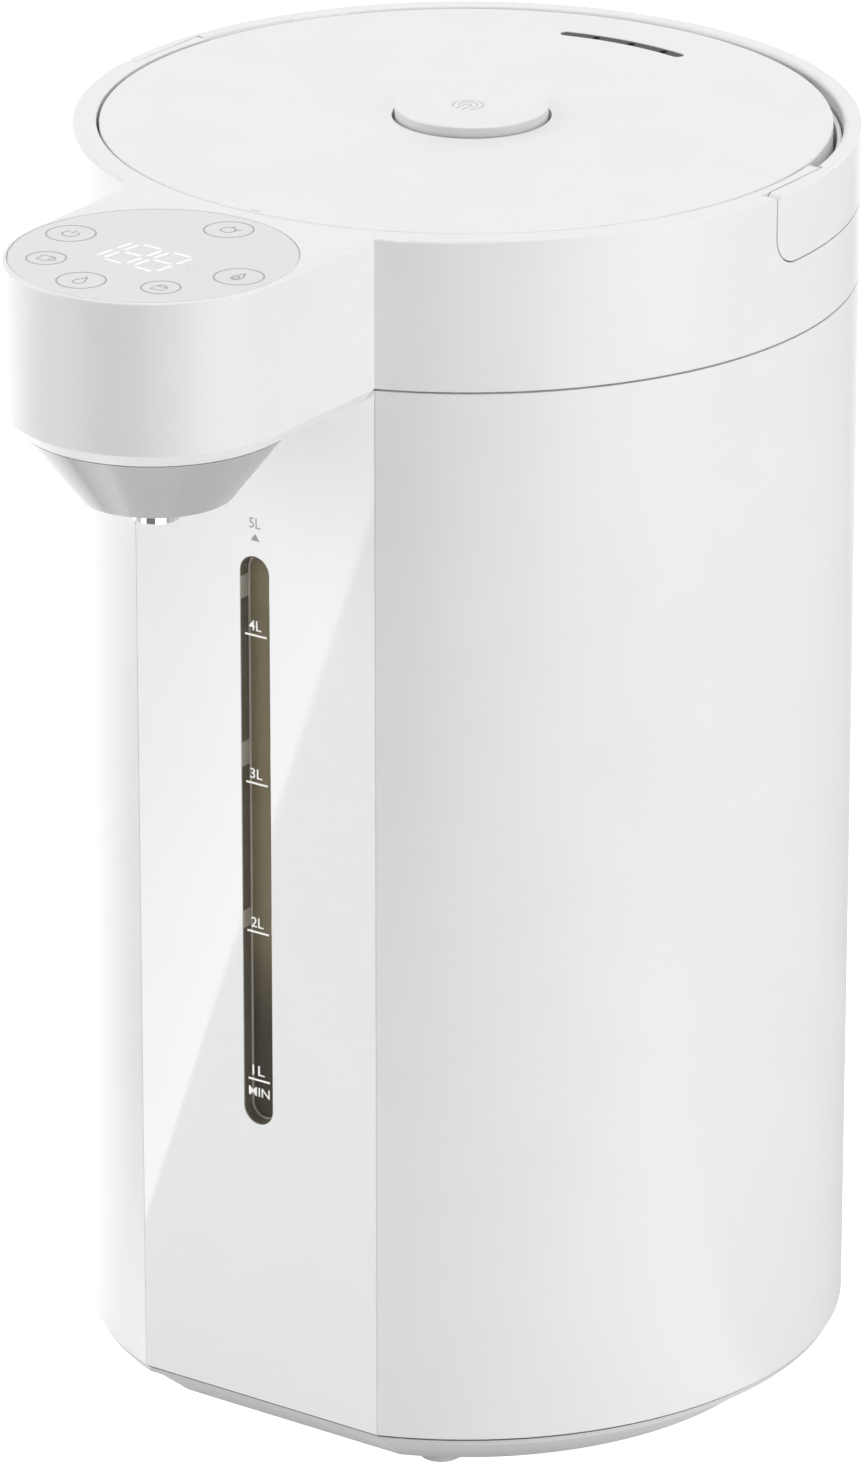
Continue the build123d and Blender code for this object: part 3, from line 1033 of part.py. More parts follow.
with BuildPart() as lid_liner:
    with BuildSketch(Plane.XZ):
        section(
            (0, LINER_LOW), (LINER_R, LINER_LOW), (LINER_R, LINER_TOP - LINER_T),
            (LINER_TOP_R, LINER_TOP - LINER_T), (LINER_TOP_R, LINER_TOP), (LINER_IN_R, LINER_TOP),
            (LINER_IN_R, LINER_LOW + LINER_T), (0, LINER_LOW + LINER_T))
    revolve(axis=Axis.Z)
    box_between((-LINER_TOP_R, HINGE_Y - LINER_CUT, LINER_LOW + LINER_H / 2),
                (LINER_TOP_R, LINER_TOP_R + 1, LINER_TOP + 1), mode=Mode.SUBTRACT)
    # Steam holes under the duct.
    with Locations((0, DUCT_FRONT_Y + DUCT_D / 2 - DUCT_WALL, LINER_LOW)):
        with GridLocations(STEAM_HOLE_PITCH, 0, STEAM_HOLE_COUNT, 1):
            Cylinder(STEAM_HOLE_R, LINER_T, align=UP, mode=Mode.SUBTRACT)
    with Locations(*on_circle(LINER_SCREW_CIRCLE, LINER_SCREW_ANGLES, LINER_TOP)):
        Cylinder(SMALL_SCREW_R + SNUG, LINER_T, align=DOWN, mode=Mode.SUBTRACT)
save(lid_liner, "lid_liner")

with BuildPart() as lid_gasket:
    with BuildSketch(Plane.XY.offset(SHELF_TOP + GASKET_LIFT)):
        ring_sketch(LINER_R + GASKET_W, LINER_R + SNUG)
    extrude(amount=GASKET_T)
save(lid_gasket, "lid_gasket")

with BuildPart() as lid_screws:
    with Locations(*on_circle(LINER_SCREW_CIRCLE, LINER_SCREW_ANGLES, LINER_TOP - LINER_T)):
        Cylinder(SMALL_HEAD_R, SMALL_HEAD_T, align=DOWN)
        Cylinder(SMALL_SCREW_R, LINER_T + SCREW_BITE, align=UP)
save(lid_screws, "lid_screws")

with BuildPart() as steam_vent:
    with BuildSketch(Plane.XY.offset(LID_UNDER)):
        SlotArc(CenterArc((0, 0), SLIT_R, SLIT_START_DEG, 2 * SLIT_HALF_DEG), SLIT_W - 2 * FIT)
    extrude(amount=LID_T - VENT_SINK)
    with BuildSketch(Plane.XY.offset(LID_UNDER)):
        SlotArc(CenterArc((0, 0), SLIT_R, SLIT_START_DEG, 2 * SLIT_HALF_DEG), SLIT_W + 2 * VENT_FLANGE_T)
    extrude(amount=-VENT_FLANGE_T)
    # Passages for the steam.
    with Locations(*on_circle(SLIT_R, VENT_HOLE_ANGLES, LID_UNDER - VENT_FLANGE_T)):
        Cylinder(VENT_HOLE_R, VENT_FLANGE_T + LID_T, align=UP, mode=Mode.SUBTRACT)
save(steam_vent, "steam_vent")

with BuildPart() as steam_duct:
    # Over the liner the duct reaches back to the slit.
    for duct_low, duct_r in ((DUCT_LOW, DUCT_BACK_R), (LINER_TOP + FIT, DUCT_TOP_R)):
        with BuildSketch(Plane.XY.offset(duct_low)):
            Circle(duct_r)
            with Locations((0, DUCT_FRONT_Y + DUCT_D)):
                Rectangle(DUCT_W, 2 * DUCT_D, mode=Mode.INTERSECT)
        extrude(amount=DUCT_HIGH - duct_low)
    for duct_low, duct_r in ((DUCT_LOW, DUCT_BACK_R), (LINER_TOP + FIT + DUCT_WALL, DUCT_TOP_R)):
        with BuildSketch(Plane.XY.offset(duct_low)):
            Circle(duct_r - DUCT_WALL)
            with Locations((0, DUCT_FRONT_Y + DUCT_WALL + DUCT_D)):
                Rectangle(DUCT_W - 2 * DUCT_WALL, 2 * DUCT_D, mode=Mode.INTERSECT)
        extrude(amount=DUCT_HIGH - duct_low, mode=Mode.SUBTRACT)
save(steam_duct, "steam_duct")

with BuildPart() as hinge_pin:
    with Locations(Plane.YZ):
        with Locations((HINGE_Y, HINGE_Z, 0)):
            Cylinder(HINGE_PIN_R, 2 * KNUCKLE_END)
save(hinge_pin, "hinge_pin")

bracket_screws_y = HINGE_Y + BRACKET_SCREW_BACK
with BuildPart() as hinge_bracket:
    box_between((-ear_out, HINGE_Y - EAR_R, SHELF_TOP),
                (ear_out, HINGE_Y + BRACKET_BACK, SHELF_TOP + BRACKET_T))
    for side in (-1, 1):
        ear_low, ear_high = sorted((side * ear_in, side * ear_out))
        box_between((ear_low, HINGE_Y - EAR_R, SHELF_TOP), (ear_high, HINGE_Y + EAR_BACK, HINGE_Z))
        with Locations(Plane.YZ.offset(side * EAR_X)):
            with Locations((HINGE_Y, HINGE_Z, 0)):
                Cylinder(EAR_R, EAR_T)
                Cylinder(HINGE_PIN_R + RUN, EAR_T, mode=Mode.SUBTRACT)
save(hinge_bracket, "hinge_bracket")

with BuildPart() as bracket_screws:
    with Locations(*[(side * BRACKET_SCREW_X, bracket_screws_y, SHELF_TOP + BRACKET_T) for side in (-1, 1)]):
        Cylinder(SMALL_HEAD_R, SMALL_HEAD_T, align=UP)
save(bracket_screws, "bracket_screws")


# ---------------------------------------------------------------- lid button and latch
# A blade at 45 degrees on the button runs in a slanted slot of the latch, so that pressing the
# button by its travel draws the latch back by the same amount.
def blade_y(z):
    """Middle of the slanted blade at height z."""
    return BUTTON_Y + z - BLADE_MID_Z


with BuildPart() as lid_button:
    with Locations((0, BUTTON_Y, BUTTON_TOP)):
        Cylinder(BUTTON_R, BUTTON_TOP - WELL_FLOOR - BUTTON_TRAVEL - BUTTON_END_GAP, align=DOWN)
    fillet(edges().group_by(Axis.Z)[-1], BUTTON_EDGE_R)
    with Locations((0, BUTTON_Y, BUTTON_UNDER)):
        Cylinder(BUTTON_R - BUTTON_T, BUTTON_UNDER - WELL_FLOOR, align=DOWN, mode=Mode.SUBTRACT)
    # The wall is open over the latch.
    box_between((-LATCH_W / 2 - 2 * EASE, BUTTON_Y - BUTTON_R - 1, WELL_FLOOR),
                (LATCH_W / 2 + 2 * EASE, BUTTON_Y + BUTTON_R + 1, BLADE_KNEE), mode=Mode.SUBTRACT)
    with BuildSketch(Plane.YZ.offset(-BLADE_W / 2)):
        half = BLADE_T / 2
        section(
            (blade_y(BLADE_LOW) - half, BLADE_LOW), (blade_y(BLADE_LOW) + half, BLADE_LOW),
            (blade_y(BLADE_KNEE) + half, BLADE_KNEE), (blade_y(BLADE_KNEE) + half, BUTTON_UNDER),
            (blade_y(BLADE_KNEE) - half, BUTTON_UNDER), (blade_y(BLADE_KNEE) - half, BLADE_KNEE))
    extrude(amount=BLADE_W)
save(lid_button, "lid_button")

with BuildPart() as lid_latch:
    box_between((-LATCH_W / 2, -LATCH_TIP_Y, LATCH_LOW), (LATCH_W / 2, LATCH_BACK, LATCH_TOP))
    with BuildSketch(Plane.YZ.offset(-BLADE_W / 2 - BLADE_GAP)):
        half = BLADE_T / 2 + BLADE_GAP
        low = LATCH_LOW - LATCH_T
        high = LATCH_TOP + LATCH_T
        section((blade_y(low) - half, low), (blade_y(low) + half, low),
                (blade_y(high) + half, high), (blade_y(high) - half, high))
    extrude(amount=BLADE_W + 2 * BLADE_GAP, mode=Mode.SUBTRACT)
    # The tip is bevelled on top.
    chamfer(edges().filter_by(Axis.X).group_by(Axis.Y)[0].sort_by(Axis.Z)[-1], LATCH_BEVEL)
save(lid_latch, "lid_latch")

with BuildPart() as button_springs:
    spring_low = WELL_FLOOR + SPRING_WIRE_R + RUN
    spring_h = BUTTON_UNDER - SPRING_WIRE_R - RUN - spring_low
    for side in (-1, 1):
        with BuildLine() as coil:
            Helix(spring_h / SPRING_TURNS, spring_h, SPRING_R,
                  center=(side * SPRING_X, BUTTON_Y, spring_low))
        with BuildSketch(Plane(origin=coil.line @ 0, z_dir=coil.line % 0)):
            Circle(SPRING_WIRE_R)
        sweep(path=coil.line, is_frenet=True)
save(button_springs, "button_springs")

# ---------------------------------------------------------------- carrying handle
with BuildPart() as carry_handle:
    # Rounded bar, turned about the body's axis.
    with BuildSketch(Plane.XZ):
        with Locations((HANDLE_IN_R + HANDLE_T / 2, HANDLE_LOW + HANDLE_H / 2)):
            Rectangle(HANDLE_T, HANDLE_H)
        fillet(vertices().sort_by_distance((HANDLE_IN_R, RIM_Z))[0], HANDLE_INNER_R)
        fillet(vertices().sort_by_distance((BODY_R, RIM_Z))[0], HANDLE_OUTER_R)
    revolve(axis=Axis.Z)
    # Seen from the side, the lugs end just ahead of the pivot, with round corners.
    with BuildSketch(Plane.YZ.offset(-BODY_R)):
        lug_len = BODY_R + HANDLE_FRONT
        with Locations(((BODY_R - HANDLE_FRONT) / 2, HANDLE_LOW + HANDLE_H / 2)):
            Rectangle(lug_len, HANDLE_H)
        fillet(vertices().sort_by_distance((-HANDLE_FRONT, HANDLE_LOW))[0], LUG_CORNER_R)
        fillet(vertices().sort_by_distance((-HANDLE_FRONT, RIM_Z))[0], LUG_TOP_R)
    extrude(amount=2 * BODY_R, mode=Mode.INTERSECT)
    # Flat inner faces of the lugs, and the pivot holes.
    box_between((-LUG_X, -HANDLE_FRONT - 1, HANDLE_LOW), (LUG_X, PAD_BACK + 1, RIM_Z), mode=Mode.SUBTRACT)
    with Locations(Plane.YZ):
        with Locations((0, PIVOT_Z, 0)):
            Cylinder(PIVOT_PIN_R + RUN, 2 * (PIN_OUT_X + EASE), mode=Mode.SUBTRACT)
save(carry_handle, "carry_handle")

with BuildPart() as handle_pins:
    for side in (-1, 1):
        with Locations(Plane.YZ.offset(side * (PIN_IN_X + PIN_OUT_X) / 2)):
            with Locations((0, PIVOT_Z, 0)):
                Cylinder(PIVOT_PIN_R, PIN_OUT_X - PIN_IN_X)
save(handle_pins, "handle_pins")
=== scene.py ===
import json
import math

import bmesh
import bpy
from mathutils import Matrix, Vector


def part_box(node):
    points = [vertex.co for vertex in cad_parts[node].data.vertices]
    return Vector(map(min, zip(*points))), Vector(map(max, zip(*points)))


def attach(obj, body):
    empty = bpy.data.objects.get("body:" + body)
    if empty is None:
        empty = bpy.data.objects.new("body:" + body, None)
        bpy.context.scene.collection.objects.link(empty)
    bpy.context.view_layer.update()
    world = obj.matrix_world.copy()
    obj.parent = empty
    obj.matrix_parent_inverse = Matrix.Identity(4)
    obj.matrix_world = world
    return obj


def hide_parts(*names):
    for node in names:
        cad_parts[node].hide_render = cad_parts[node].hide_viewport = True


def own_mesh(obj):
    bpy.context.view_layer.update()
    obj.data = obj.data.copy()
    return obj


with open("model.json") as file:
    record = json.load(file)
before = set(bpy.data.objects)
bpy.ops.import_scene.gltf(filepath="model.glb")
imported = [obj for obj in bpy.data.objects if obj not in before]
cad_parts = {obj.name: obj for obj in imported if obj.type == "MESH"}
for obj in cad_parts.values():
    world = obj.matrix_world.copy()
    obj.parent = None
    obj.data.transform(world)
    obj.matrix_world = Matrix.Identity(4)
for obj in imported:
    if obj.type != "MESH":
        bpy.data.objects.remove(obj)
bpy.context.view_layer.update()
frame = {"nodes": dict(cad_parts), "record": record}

MM = 0.001
X_AXIS = (1, 0, 0)
Y_AXIS = (0, 1, 0)
Z_AXIS = (0, 0, 1)
NODES = frame["nodes"]


# ---------------------------------------------------------------- places, from the frame
def low(node):
    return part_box(node)[0]


def high(node):
    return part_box(node)[1]


def middle(node):
    return (low(node) + high(node)) / 2


PANEL_Y = low("front_panel").y                  # glossy front of the flat
RIM_Z = high("control_disc").z                  # top of the rim, the lid and the disc
DISC_Y = middle("control_disc").y
BUTTON_TOP = high("lid_button").z
BUTTON_Y = middle("lid_button").y
LID_FRONT_Y = low("lid_top").y
SHELL_LOW = low("outer_shell").z

WINDOW_RIM = 1.9 * MM                           # flange of the window, hidden behind the panel
WINDOW_X = middle("level_window").x
WINDOW_Z = middle("level_window").z
WINDOW_HALF_W = high("level_window").x - WINDOW_X - WINDOW_RIM
WINDOW_HALF_L = high("level_window").z - WINDOW_Z - WINDOW_RIM
WINDOW_DEPTH = high("level_window").y - low("level_window").y
PANEL_T = high("front_panel").y - PANEL_Y


# ---------------------------------------------------------------- objects
def add_object(name, data):
    """A new object in the scene."""
    thing = bpy.data.objects.new(name, data)
    bpy.context.scene.collection.objects.link(thing)
    return thing


def mesh_data(name, mesh):
    """Mesh data from a bmesh, which ends here."""
    data = bpy.data.meshes.new(name)
    mesh.to_mesh(data)
    mesh.free()
    return data


# ---------------------------------------------------------------- camera
CAMERA_AZIMUTH = 34.761         # degrees round from the front, towards +X
CAMERA_ELEVATION = 21.595
CAMERA_DISTANCE = 2.51582
CAMERA_AIM_RIGHT = -0.0089707   # aim point beside the axis, along the picture
CAMERA_AIM_Z = 0.178165
CAMERA_REACH = 20               # metres to the far end of what it draws
FOCAL_MM = 226.27               # on a 36 mm frame along the picture's height
FRAME_MM = 36.0

azimuth = math.radians(CAMERA_AZIMUTH)
elevation = math.radians(CAMERA_ELEVATION)
VIEW_RIGHT = Vector((math.cos(azimuth), math.sin(azimuth), 0))
VIEW_BACK = Vector((math.sin(azimuth) * math.cos(elevation), -math.cos(azimuth) * math.cos(elevation),
                    math.sin(elevation)))


def make_camera():
    data = bpy.data.cameras.new("camera")
    data.sensor_fit = "VERTICAL"
    data.sensor_height = FRAME_MM
    data.sensor_width = FRAME_MM
    data.lens = FOCAL_MM
    data.clip_end = CAMERA_REACH
    camera = add_object("camera", data)
    aim = VIEW_RIGHT * CAMERA_AIM_RIGHT + Vector((0, 0, CAMERA_AIM_Z))
    camera.location = aim + VIEW_BACK * CAMERA_DISTANCE
    camera.rotation_euler = (-VIEW_BACK).to_track_quat("-Z", "Y").to_euler()
    bpy.context.scene.camera = camera


make_camera()


# ---------------------------------------------------------------- material helpers
MOTTLE_SCALE = 38.0             # features per metre in the mottle of a plastic
HAZE_SCALE = 60.0               # in the haze of metals and clear plastics
INK_SCALE = 900.0               # and in the unevenness of ink
MOTTLE_SPAN = (0.25, 0.75)      # noise at the dark and the bright end of a plastic's mottle
HAZE_SPAN = (0.3, 0.7)          # and of the other materials' haze
GRAIN_DEPTH = 0.05 * MM
BRUSH_DEPTH = 0.03 * MM
BRUSH_STRENGTH = 0.15
CLEAR_IOR = 1.49
WHITE_LIGHT = (1, 1, 1, 1)


def shader_of(name):
    """A new node material and its main shader."""
    material = bpy.data.materials.new(name)
    material.use_nodes = True
    return material, material.node_tree.nodes["Principled BSDF"]


def add_node(tree, kind, **values):
    """A node with its inputs set by name."""
    node = tree.nodes.new(kind)
    for key, value in values.items():
        node.inputs[key.replace("_", " ")].default_value = value
    return node


def object_noise(tree, scale, detail=3.0):
    """Noise in object space; scale is in features per metre."""
    coords = tree.nodes.new("ShaderNodeTexCoord")
    noise = add_node(tree, "ShaderNodeTexNoise", Scale=scale, Detail=detail)
    tree.links.new(coords.outputs["Object"], noise.inputs["Vector"])
    return noise


def along(tree, axis, start, end):
    """0 to 1 from start to end along an axis of object space."""
    coords = tree.nodes.new("ShaderNodeTexCoord")
    parts = tree.nodes.new("ShaderNodeSeparateXYZ")
    tree.links.new(coords.outputs["Object"], parts.inputs[0])
    place = add_node(tree, "ShaderNodeMapRange", From_Min=start, From_Max=end)
    tree.links.new(parts.outputs[axis], place.inputs["Value"])
    return place.outputs["Result"]


def ramp(tree, source, stops, interpolation="LINEAR"):
    """Colours along a 0 to 1 value."""
    node = tree.nodes.new("ShaderNodeValToRGB")
    node.color_ramp.interpolation = interpolation
    elements = node.color_ramp.elements
    elements.remove(elements[1])
    elements[0].position = stops[0][0]
    elements[0].color = (*stops[0][1], 1.0)
    for place, colour in stops[1:]:
        elements.new(place).color = (*colour, 1.0)
    tree.links.new(source, node.inputs["Fac"])
    return node.outputs["Color"]


def spread(tree, source, low_value, high_value, socket):
    """Feeds a number that varies from low_value to high_value into a socket."""
    node = add_node(tree, "ShaderNodeMapRange", To_Min=low_value, To_Max=high_value)
    tree.links.new(source, node.inputs["Value"])
    tree.links.new(node.outputs["Result"], socket)


def larger(tree, first, second):
    """The larger of two numbers."""
    node = tree.nodes.new("ShaderNodeMath")
    node.operation = "MAXIMUM"
    tree.links.new(first, node.inputs[0])
    tree.links.new(second, node.inputs[1])
    return node.outputs[0]


def tinted(tree, colour, noise, amount):
    """A colour socket times a faint mottle."""
    factor = ramp(tree, noise.outputs["Fac"],
                  ((MOTTLE_SPAN[0], (1 - amount,) * 3), (MOTTLE_SPAN[1], (1.0, 1.0, 1.0))))
    product = tree.nodes.new("ShaderNodeVectorMath")
    product.operation = "MULTIPLY"
    tree.links.new(colour, product.inputs[0])
    tree.links.new(factor, product.inputs[1])
    return product.outputs["Vector"]


def hazy(tree, shader, noise, colour, dark_share):
    """Gives a shader a colour that noise darkens to a share of itself."""
    dark = tuple(c * dark_share for c in colour)
    tint = ramp(tree, noise.outputs["Fac"], ((HAZE_SPAN[0], dark), (HAZE_SPAN[1], colour)))
    tree.links.new(tint, shader.inputs["Base Color"])


def uneven_sheen(tree, shader, noise, rough, swing):
    """Gives a shader a roughness that noise varies to both sides by a share of itself."""
    spread(tree, noise.outputs["Fac"], rough * (1 - swing), rough * (1 + swing), shader.inputs["Roughness"])


def plastic(name, colour, rough, grain=0.0, grain_scale=2500.0, mottle=0.012, edge=0.0, coat=0.0,
            shine=0.5, zones=None):
    """Moulded plastic: a faint mottle, uneven sheen, a fine grain and softened edges.

    zones is (axis, start, end, stops, interpolation) for a colour that changes along the object. The
    colour is None then.
    """
    material, shader = shader_of(name)
    tree = material.node_tree
    mottling = object_noise(tree, MOTTLE_SCALE, detail=4.0)
    if zones:
        axis, start, end, stops, interpolation = zones
        plain = ramp(tree, along(tree, axis, start, end), stops, interpolation)
        tree.links.new(tinted(tree, plain, mottling, mottle), shader.inputs["Base Color"])
    else:
        dark = tuple(c * (1 - mottle) for c in colour)
        bright = tuple(min(c * (1 + mottle), 1.0) for c in colour)
        tint = ramp(tree, mottling.outputs["Fac"], ((MOTTLE_SPAN[0], dark), (MOTTLE_SPAN[1], bright)))
        tree.links.new(tint, shader.inputs["Base Color"])
    uneven_sheen(tree, shader, mottling, rough, 0.1)
    shader.inputs["Coat Weight"].default_value = coat
    shader.inputs["Specular IOR Level"].default_value = shine
    normal = None
    if edge:
        bevel = tree.nodes.new("ShaderNodeBevel")
        bevel.samples = 4
        bevel.inputs["Radius"].default_value = edge
        normal = bevel.outputs["Normal"]
    if grain:
        fine = object_noise(tree, grain_scale, detail=2.0)
        bump = add_node(tree, "ShaderNodeBump", Strength=grain, Distance=GRAIN_DEPTH)
        tree.links.new(fine.outputs["Fac"], bump.inputs["Height"])
        if normal:
            tree.links.new(normal, bump.inputs["Normal"])
        normal = bump.outputs["Normal"]
    if normal:
        tree.links.new(normal, shader.inputs["Normal"])
    return material


def metal(name, colour, rough, brush=None):
    """Metal with an uneven polish; brush stretches its fine lines by that scale on each axis."""
    material, shader = shader_of(name)
    tree = material.node_tree
    shader.inputs["Metallic"].default_value = 1.0
    haze = object_noise(tree, HAZE_SCALE)
    hazy(tree, shader, haze, colour, 0.96)
    uneven_sheen(tree, shader, haze, rough, 0.2)
    if brush:
        coords = tree.nodes.new("ShaderNodeTexCoord")
        mapping = add_node(tree, "ShaderNodeMapping", Scale=brush)
        lines = add_node(tree, "ShaderNodeTexNoise", Scale=1.0, Detail=3.0)
        tree.links.new(coords.outputs["Object"], mapping.inputs["Vector"])
        tree.links.new(mapping.outputs["Vector"], lines.inputs["Vector"])
        bump = add_node(tree, "ShaderNodeBump", Strength=BRUSH_STRENGTH, Distance=BRUSH_DEPTH)
        tree.links.new(lines.outputs["Fac"], bump.inputs["Height"])
        tree.links.new(bump.outputs["Normal"], shader.inputs["Normal"])
    return material


def clear(name, colour, rough=0.02):
    """Clear plastic that light passes through."""
    material, shader = shader_of(name)
    tree = material.node_tree
    haze = object_noise(tree, HAZE_SCALE)
    hazy(tree, shader, haze, colour, 0.98)
    uneven_sheen(tree, shader, haze, rough, 0.3)
    shader.inputs["Transmission Weight"].default_value = 1.0
    shader.inputs["IOR"].default_value = CLEAR_IOR
    return material


def thin_film(name, colour, alpha, rough=0.05, shine=0.12):
    """A thin clear cover: mostly see-through, with a gloss."""
    material, shader = shader_of(name)
    tree = material.node_tree
    haze = object_noise(tree, HAZE_SCALE)
    hazy(tree, shader, haze, colour, 0.97)
    uneven_sheen(tree, shader, haze, rough, 0.3)
    shader.inputs["Alpha"].default_value = alpha
    shader.inputs["Specular IOR Level"].default_value = shine
    return material


def ink(name, colour, glow=0.0):
    """Printed or lit mark, with a faint unevenness; a glow on a printed mark is painted light."""
    material, shader = shader_of(name)
    tree = material.node_tree
    haze = object_noise(tree, INK_SCALE)
    hazy(tree, shader, haze, colour, 0.94)
    uneven_sheen(tree, shader, haze, 0.4, 0.125)
    shader.inputs["Emission Color"].default_value = WHITE_LIGHT
    shader.inputs["Emission Strength"].default_value = glow
    return material


# ---------------------------------------------------------------- materials of the nodes
WHITE = (0.84, 0.84, 0.84)
GREY_FLANK = (0.56, 0.57, 0.58)
PALE_LIP = (0.66, 0.665, 0.67)
# The dark band over the pale lip is painted shade: it darkens the shadow gap under the shell's lower edge.
SHADOW_GAP_GREY = (0.10, 0.10, 0.10)
LIP_LOW = SHELL_LOW - 2.45 * MM                 # pale lip of the base cover, and the painted shade of the shadow gap over it
SHADOW_GAP_LOW = SHELL_LOW - 1.15 * MM
BUTTON_SIDE = (0.73, 0.73, 0.73)
BUTTON_CAP_T = 0.45 * MM                        # the white cap of the button is this thick

BUTTON_ZONES = ("Z", BUTTON_TOP - 2 * BUTTON_CAP_T, BUTTON_TOP, ((0.0, BUTTON_SIDE), (0.5, WHITE)), "CONSTANT")
BASE_ZONES = ("Z", 0.0, SHELL_LOW, ((0.0, GREY_FLANK), (LIP_LOW / SHELL_LOW, PALE_LIP),
                                    (SHADOW_GAP_LOW / SHELL_LOW, SHADOW_GAP_GREY)), "CONSTANT")

MATERIALS = {
    "body_white": plastic("body_white", WHITE, 0.30, grain=0.05, edge=0.4 * MM),
    "lid_white": plastic("lid_white", WHITE, 0.36, grain=0.08, edge=0.3 * MM),
    "panel_gloss": plastic("panel_gloss", (0.89, 0.89, 0.89), 0.035, edge=0.2 * MM, mottle=0.006, coat=1.0),
    "cone_grey": plastic("cone_grey", (0.41, 0.41, 0.41), 0.26, grain=0.06, coat=0.3),
    "disc_gloss": plastic("disc_gloss", (0.75, 0.75, 0.75), 0.16, mottle=0.006),
    "button_grey": plastic("button_grey", None, 0.3, grain=0.04, edge=0.3 * MM, zones=BUTTON_ZONES),
    "base_grey": plastic("base_grey", None, 0.5, grain=0.3, zones=BASE_ZONES),
    "vent_grey": plastic("vent_grey", (0.04, 0.04, 0.042), 0.6, grain=0.2),
    "inner_plastic": plastic("inner_plastic", (0.74, 0.74, 0.72), 0.45, grain=0.15),
    "silicone": plastic("silicone", (0.72, 0.72, 0.70), 0.55, grain=0.1),
    "foot_rubber": plastic("foot_rubber", (0.80, 0.80, 0.79), 0.6, grain=0.3),
    "inlet_black": plastic("inlet_black", (0.02, 0.02, 0.021), 0.45, grain=0.25),
    "board_green": plastic("board_green", (0.02, 0.12, 0.05), 0.35, grain=0.1),
    "component_black": plastic("component_black", (0.03, 0.03, 0.033), 0.45, grain=0.2),
    "insulation": plastic("insulation", (0.60, 0.60, 0.56), 0.9, grain=1.0, grain_scale=900.0, mottle=0.08),
    "chrome": metal("chrome", (0.82, 0.82, 0.83), 0.04),
    "pot_steel": metal("pot_steel", (0.62, 0.615, 0.60), 0.24, brush=(120, 120, 9000)),
    "screw_steel": metal("screw_steel", (0.55, 0.55, 0.56), 0.3),
    "spring_steel": metal("spring_steel", (0.60, 0.60, 0.60), 0.22),
    "plate_aluminium": metal("plate_aluminium", (0.70, 0.70, 0.70), 0.4),
    "contact_brass": metal("contact_brass", (0.80, 0.72, 0.50), 0.2),
    "window_clear": clear("window_clear", (0.95, 0.95, 0.94)),
    "tube_clear": clear("tube_clear", (0.93, 0.95, 0.95)),
}


def dress_nodes():
    """Gives every node of the frame the material of its slot."""
    for part in frame["record"]["subparts"]:
        node = NODES[part["node"]]
        node.data.materials.clear()
        node.data.materials.append(MATERIALS[part["material_slot"]])


dress_nodes()


# ---------------------------------------------------------------- flat marks
LIFT = 0.03 * MM                # marks stand this much over what they are printed on


def arc(centre, radius, start, end, steps=24):
    """Points on an arc, angles in degrees."""
    turns = [math.radians(start + (end - start) * i / steps) for i in range(steps + 1)]
    return [(centre[0] + radius * math.cos(t), centre[1] + radius * math.sin(t)) for t in turns]


def circle(centre, radius, count=60):
    """Points round a circle."""
    return arc(centre, radius, 0, 360 - 360 / count, count - 1)


def drop(centre, size, steps=28):
    """Outline of a water drop, its point up."""
    turns = [2 * math.pi * i / steps for i in range(steps)]
    return [(centre[0] + 0.8 * size * math.sin(t) * math.sin(t / 2) ** 1.5, centre[1] + size * math.cos(t))
            for t in turns]


class Marks:
    """Flat marks gathered into one thin piece; points are (u, v) in millimetres on its own plane."""

    def __init__(self, name, origin, u_axis, v_axis):
        self.name = name
        self.normal = Vector(u_axis).cross(Vector(v_axis))
        self.place = Matrix.Translation(Vector(origin) + self.normal * LIFT) @ Matrix((
            Vector(u_axis) * MM, Vector(v_axis) * MM, self.normal * MM)).transposed().to_4x4()
        self.mesh = bmesh.new()

    def vert(self, u, v):
        return self.mesh.verts.new(self.place @ Vector((u, v, 0)))

    def fill(self, points):
        self.mesh.faces.new([self.vert(u, v) for u, v in points])

    def stroke(self, points, width, closed=False):
        """A line of even width through the points."""
        count = len(points)
        sides = []
        for i, (u, v) in enumerate(points):
            before = points[i - 1] if closed or i > 0 else points[i]
            after = points[(i + 1) % count] if closed or i < count - 1 else points[i]
            run = Vector((after[0] - before[0], after[1] - before[1])).normalized()
            half = Vector((-run.y, run.x)) * width / 2
            sides.append((self.vert(u + half.x, v + half.y), self.vert(u - half.x, v - half.y)))
        for i in range(count if closed else count - 1):
            left, right = sides[i], sides[(i + 1) % count]
            self.mesh.faces.new((left[0], left[1], right[1], right[0]))

    def letters(self, text, height, centre, width=None, weight=0.0):
        """Plain letters, centred, of a cap height and if given a width; weight thickens them."""
        curve = bpy.data.curves.new(self.name, "FONT")
        curve.body = text
        curve.offset = weight
        holder = add_object(self.name, curve)
        shape = bpy.data.meshes.new_from_object(holder)
        bpy.data.objects.remove(holder)
        bpy.data.curves.remove(curve)
        (left, right), (bottom, top) = (
            (min(v.co[k] for v in shape.vertices), max(v.co[k] for v in shape.vertices)) for k in (0, 1))
        tall = height / (top - bottom)
        wide = width / (right - left) if width else tall
        shift = Matrix.Translation((centre[0] - wide * (left + right) / 2,
                                    centre[1] - tall * (bottom + top) / 2, 0))
        shape.transform(self.place @ shift @ Matrix.Diagonal((wide, tall, 1, 1)))
        self.mesh.from_mesh(shape)
        bpy.data.meshes.remove(shape)

    def finish(self, material, body):
        self.mesh.normal_update()
        for face in self.mesh.faces:
            if face.normal.dot(self.normal) < 0:
                face.normal_flip()
        data = mesh_data(self.name, self.mesh)
        data.materials.append(material)
        piece = add_object(self.name, data)
        depth = piece.modifiers.new("depth", "SOLIDIFY")
        depth.thickness = 2 * LIFT
        depth.offset = -1
        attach(piece, body)
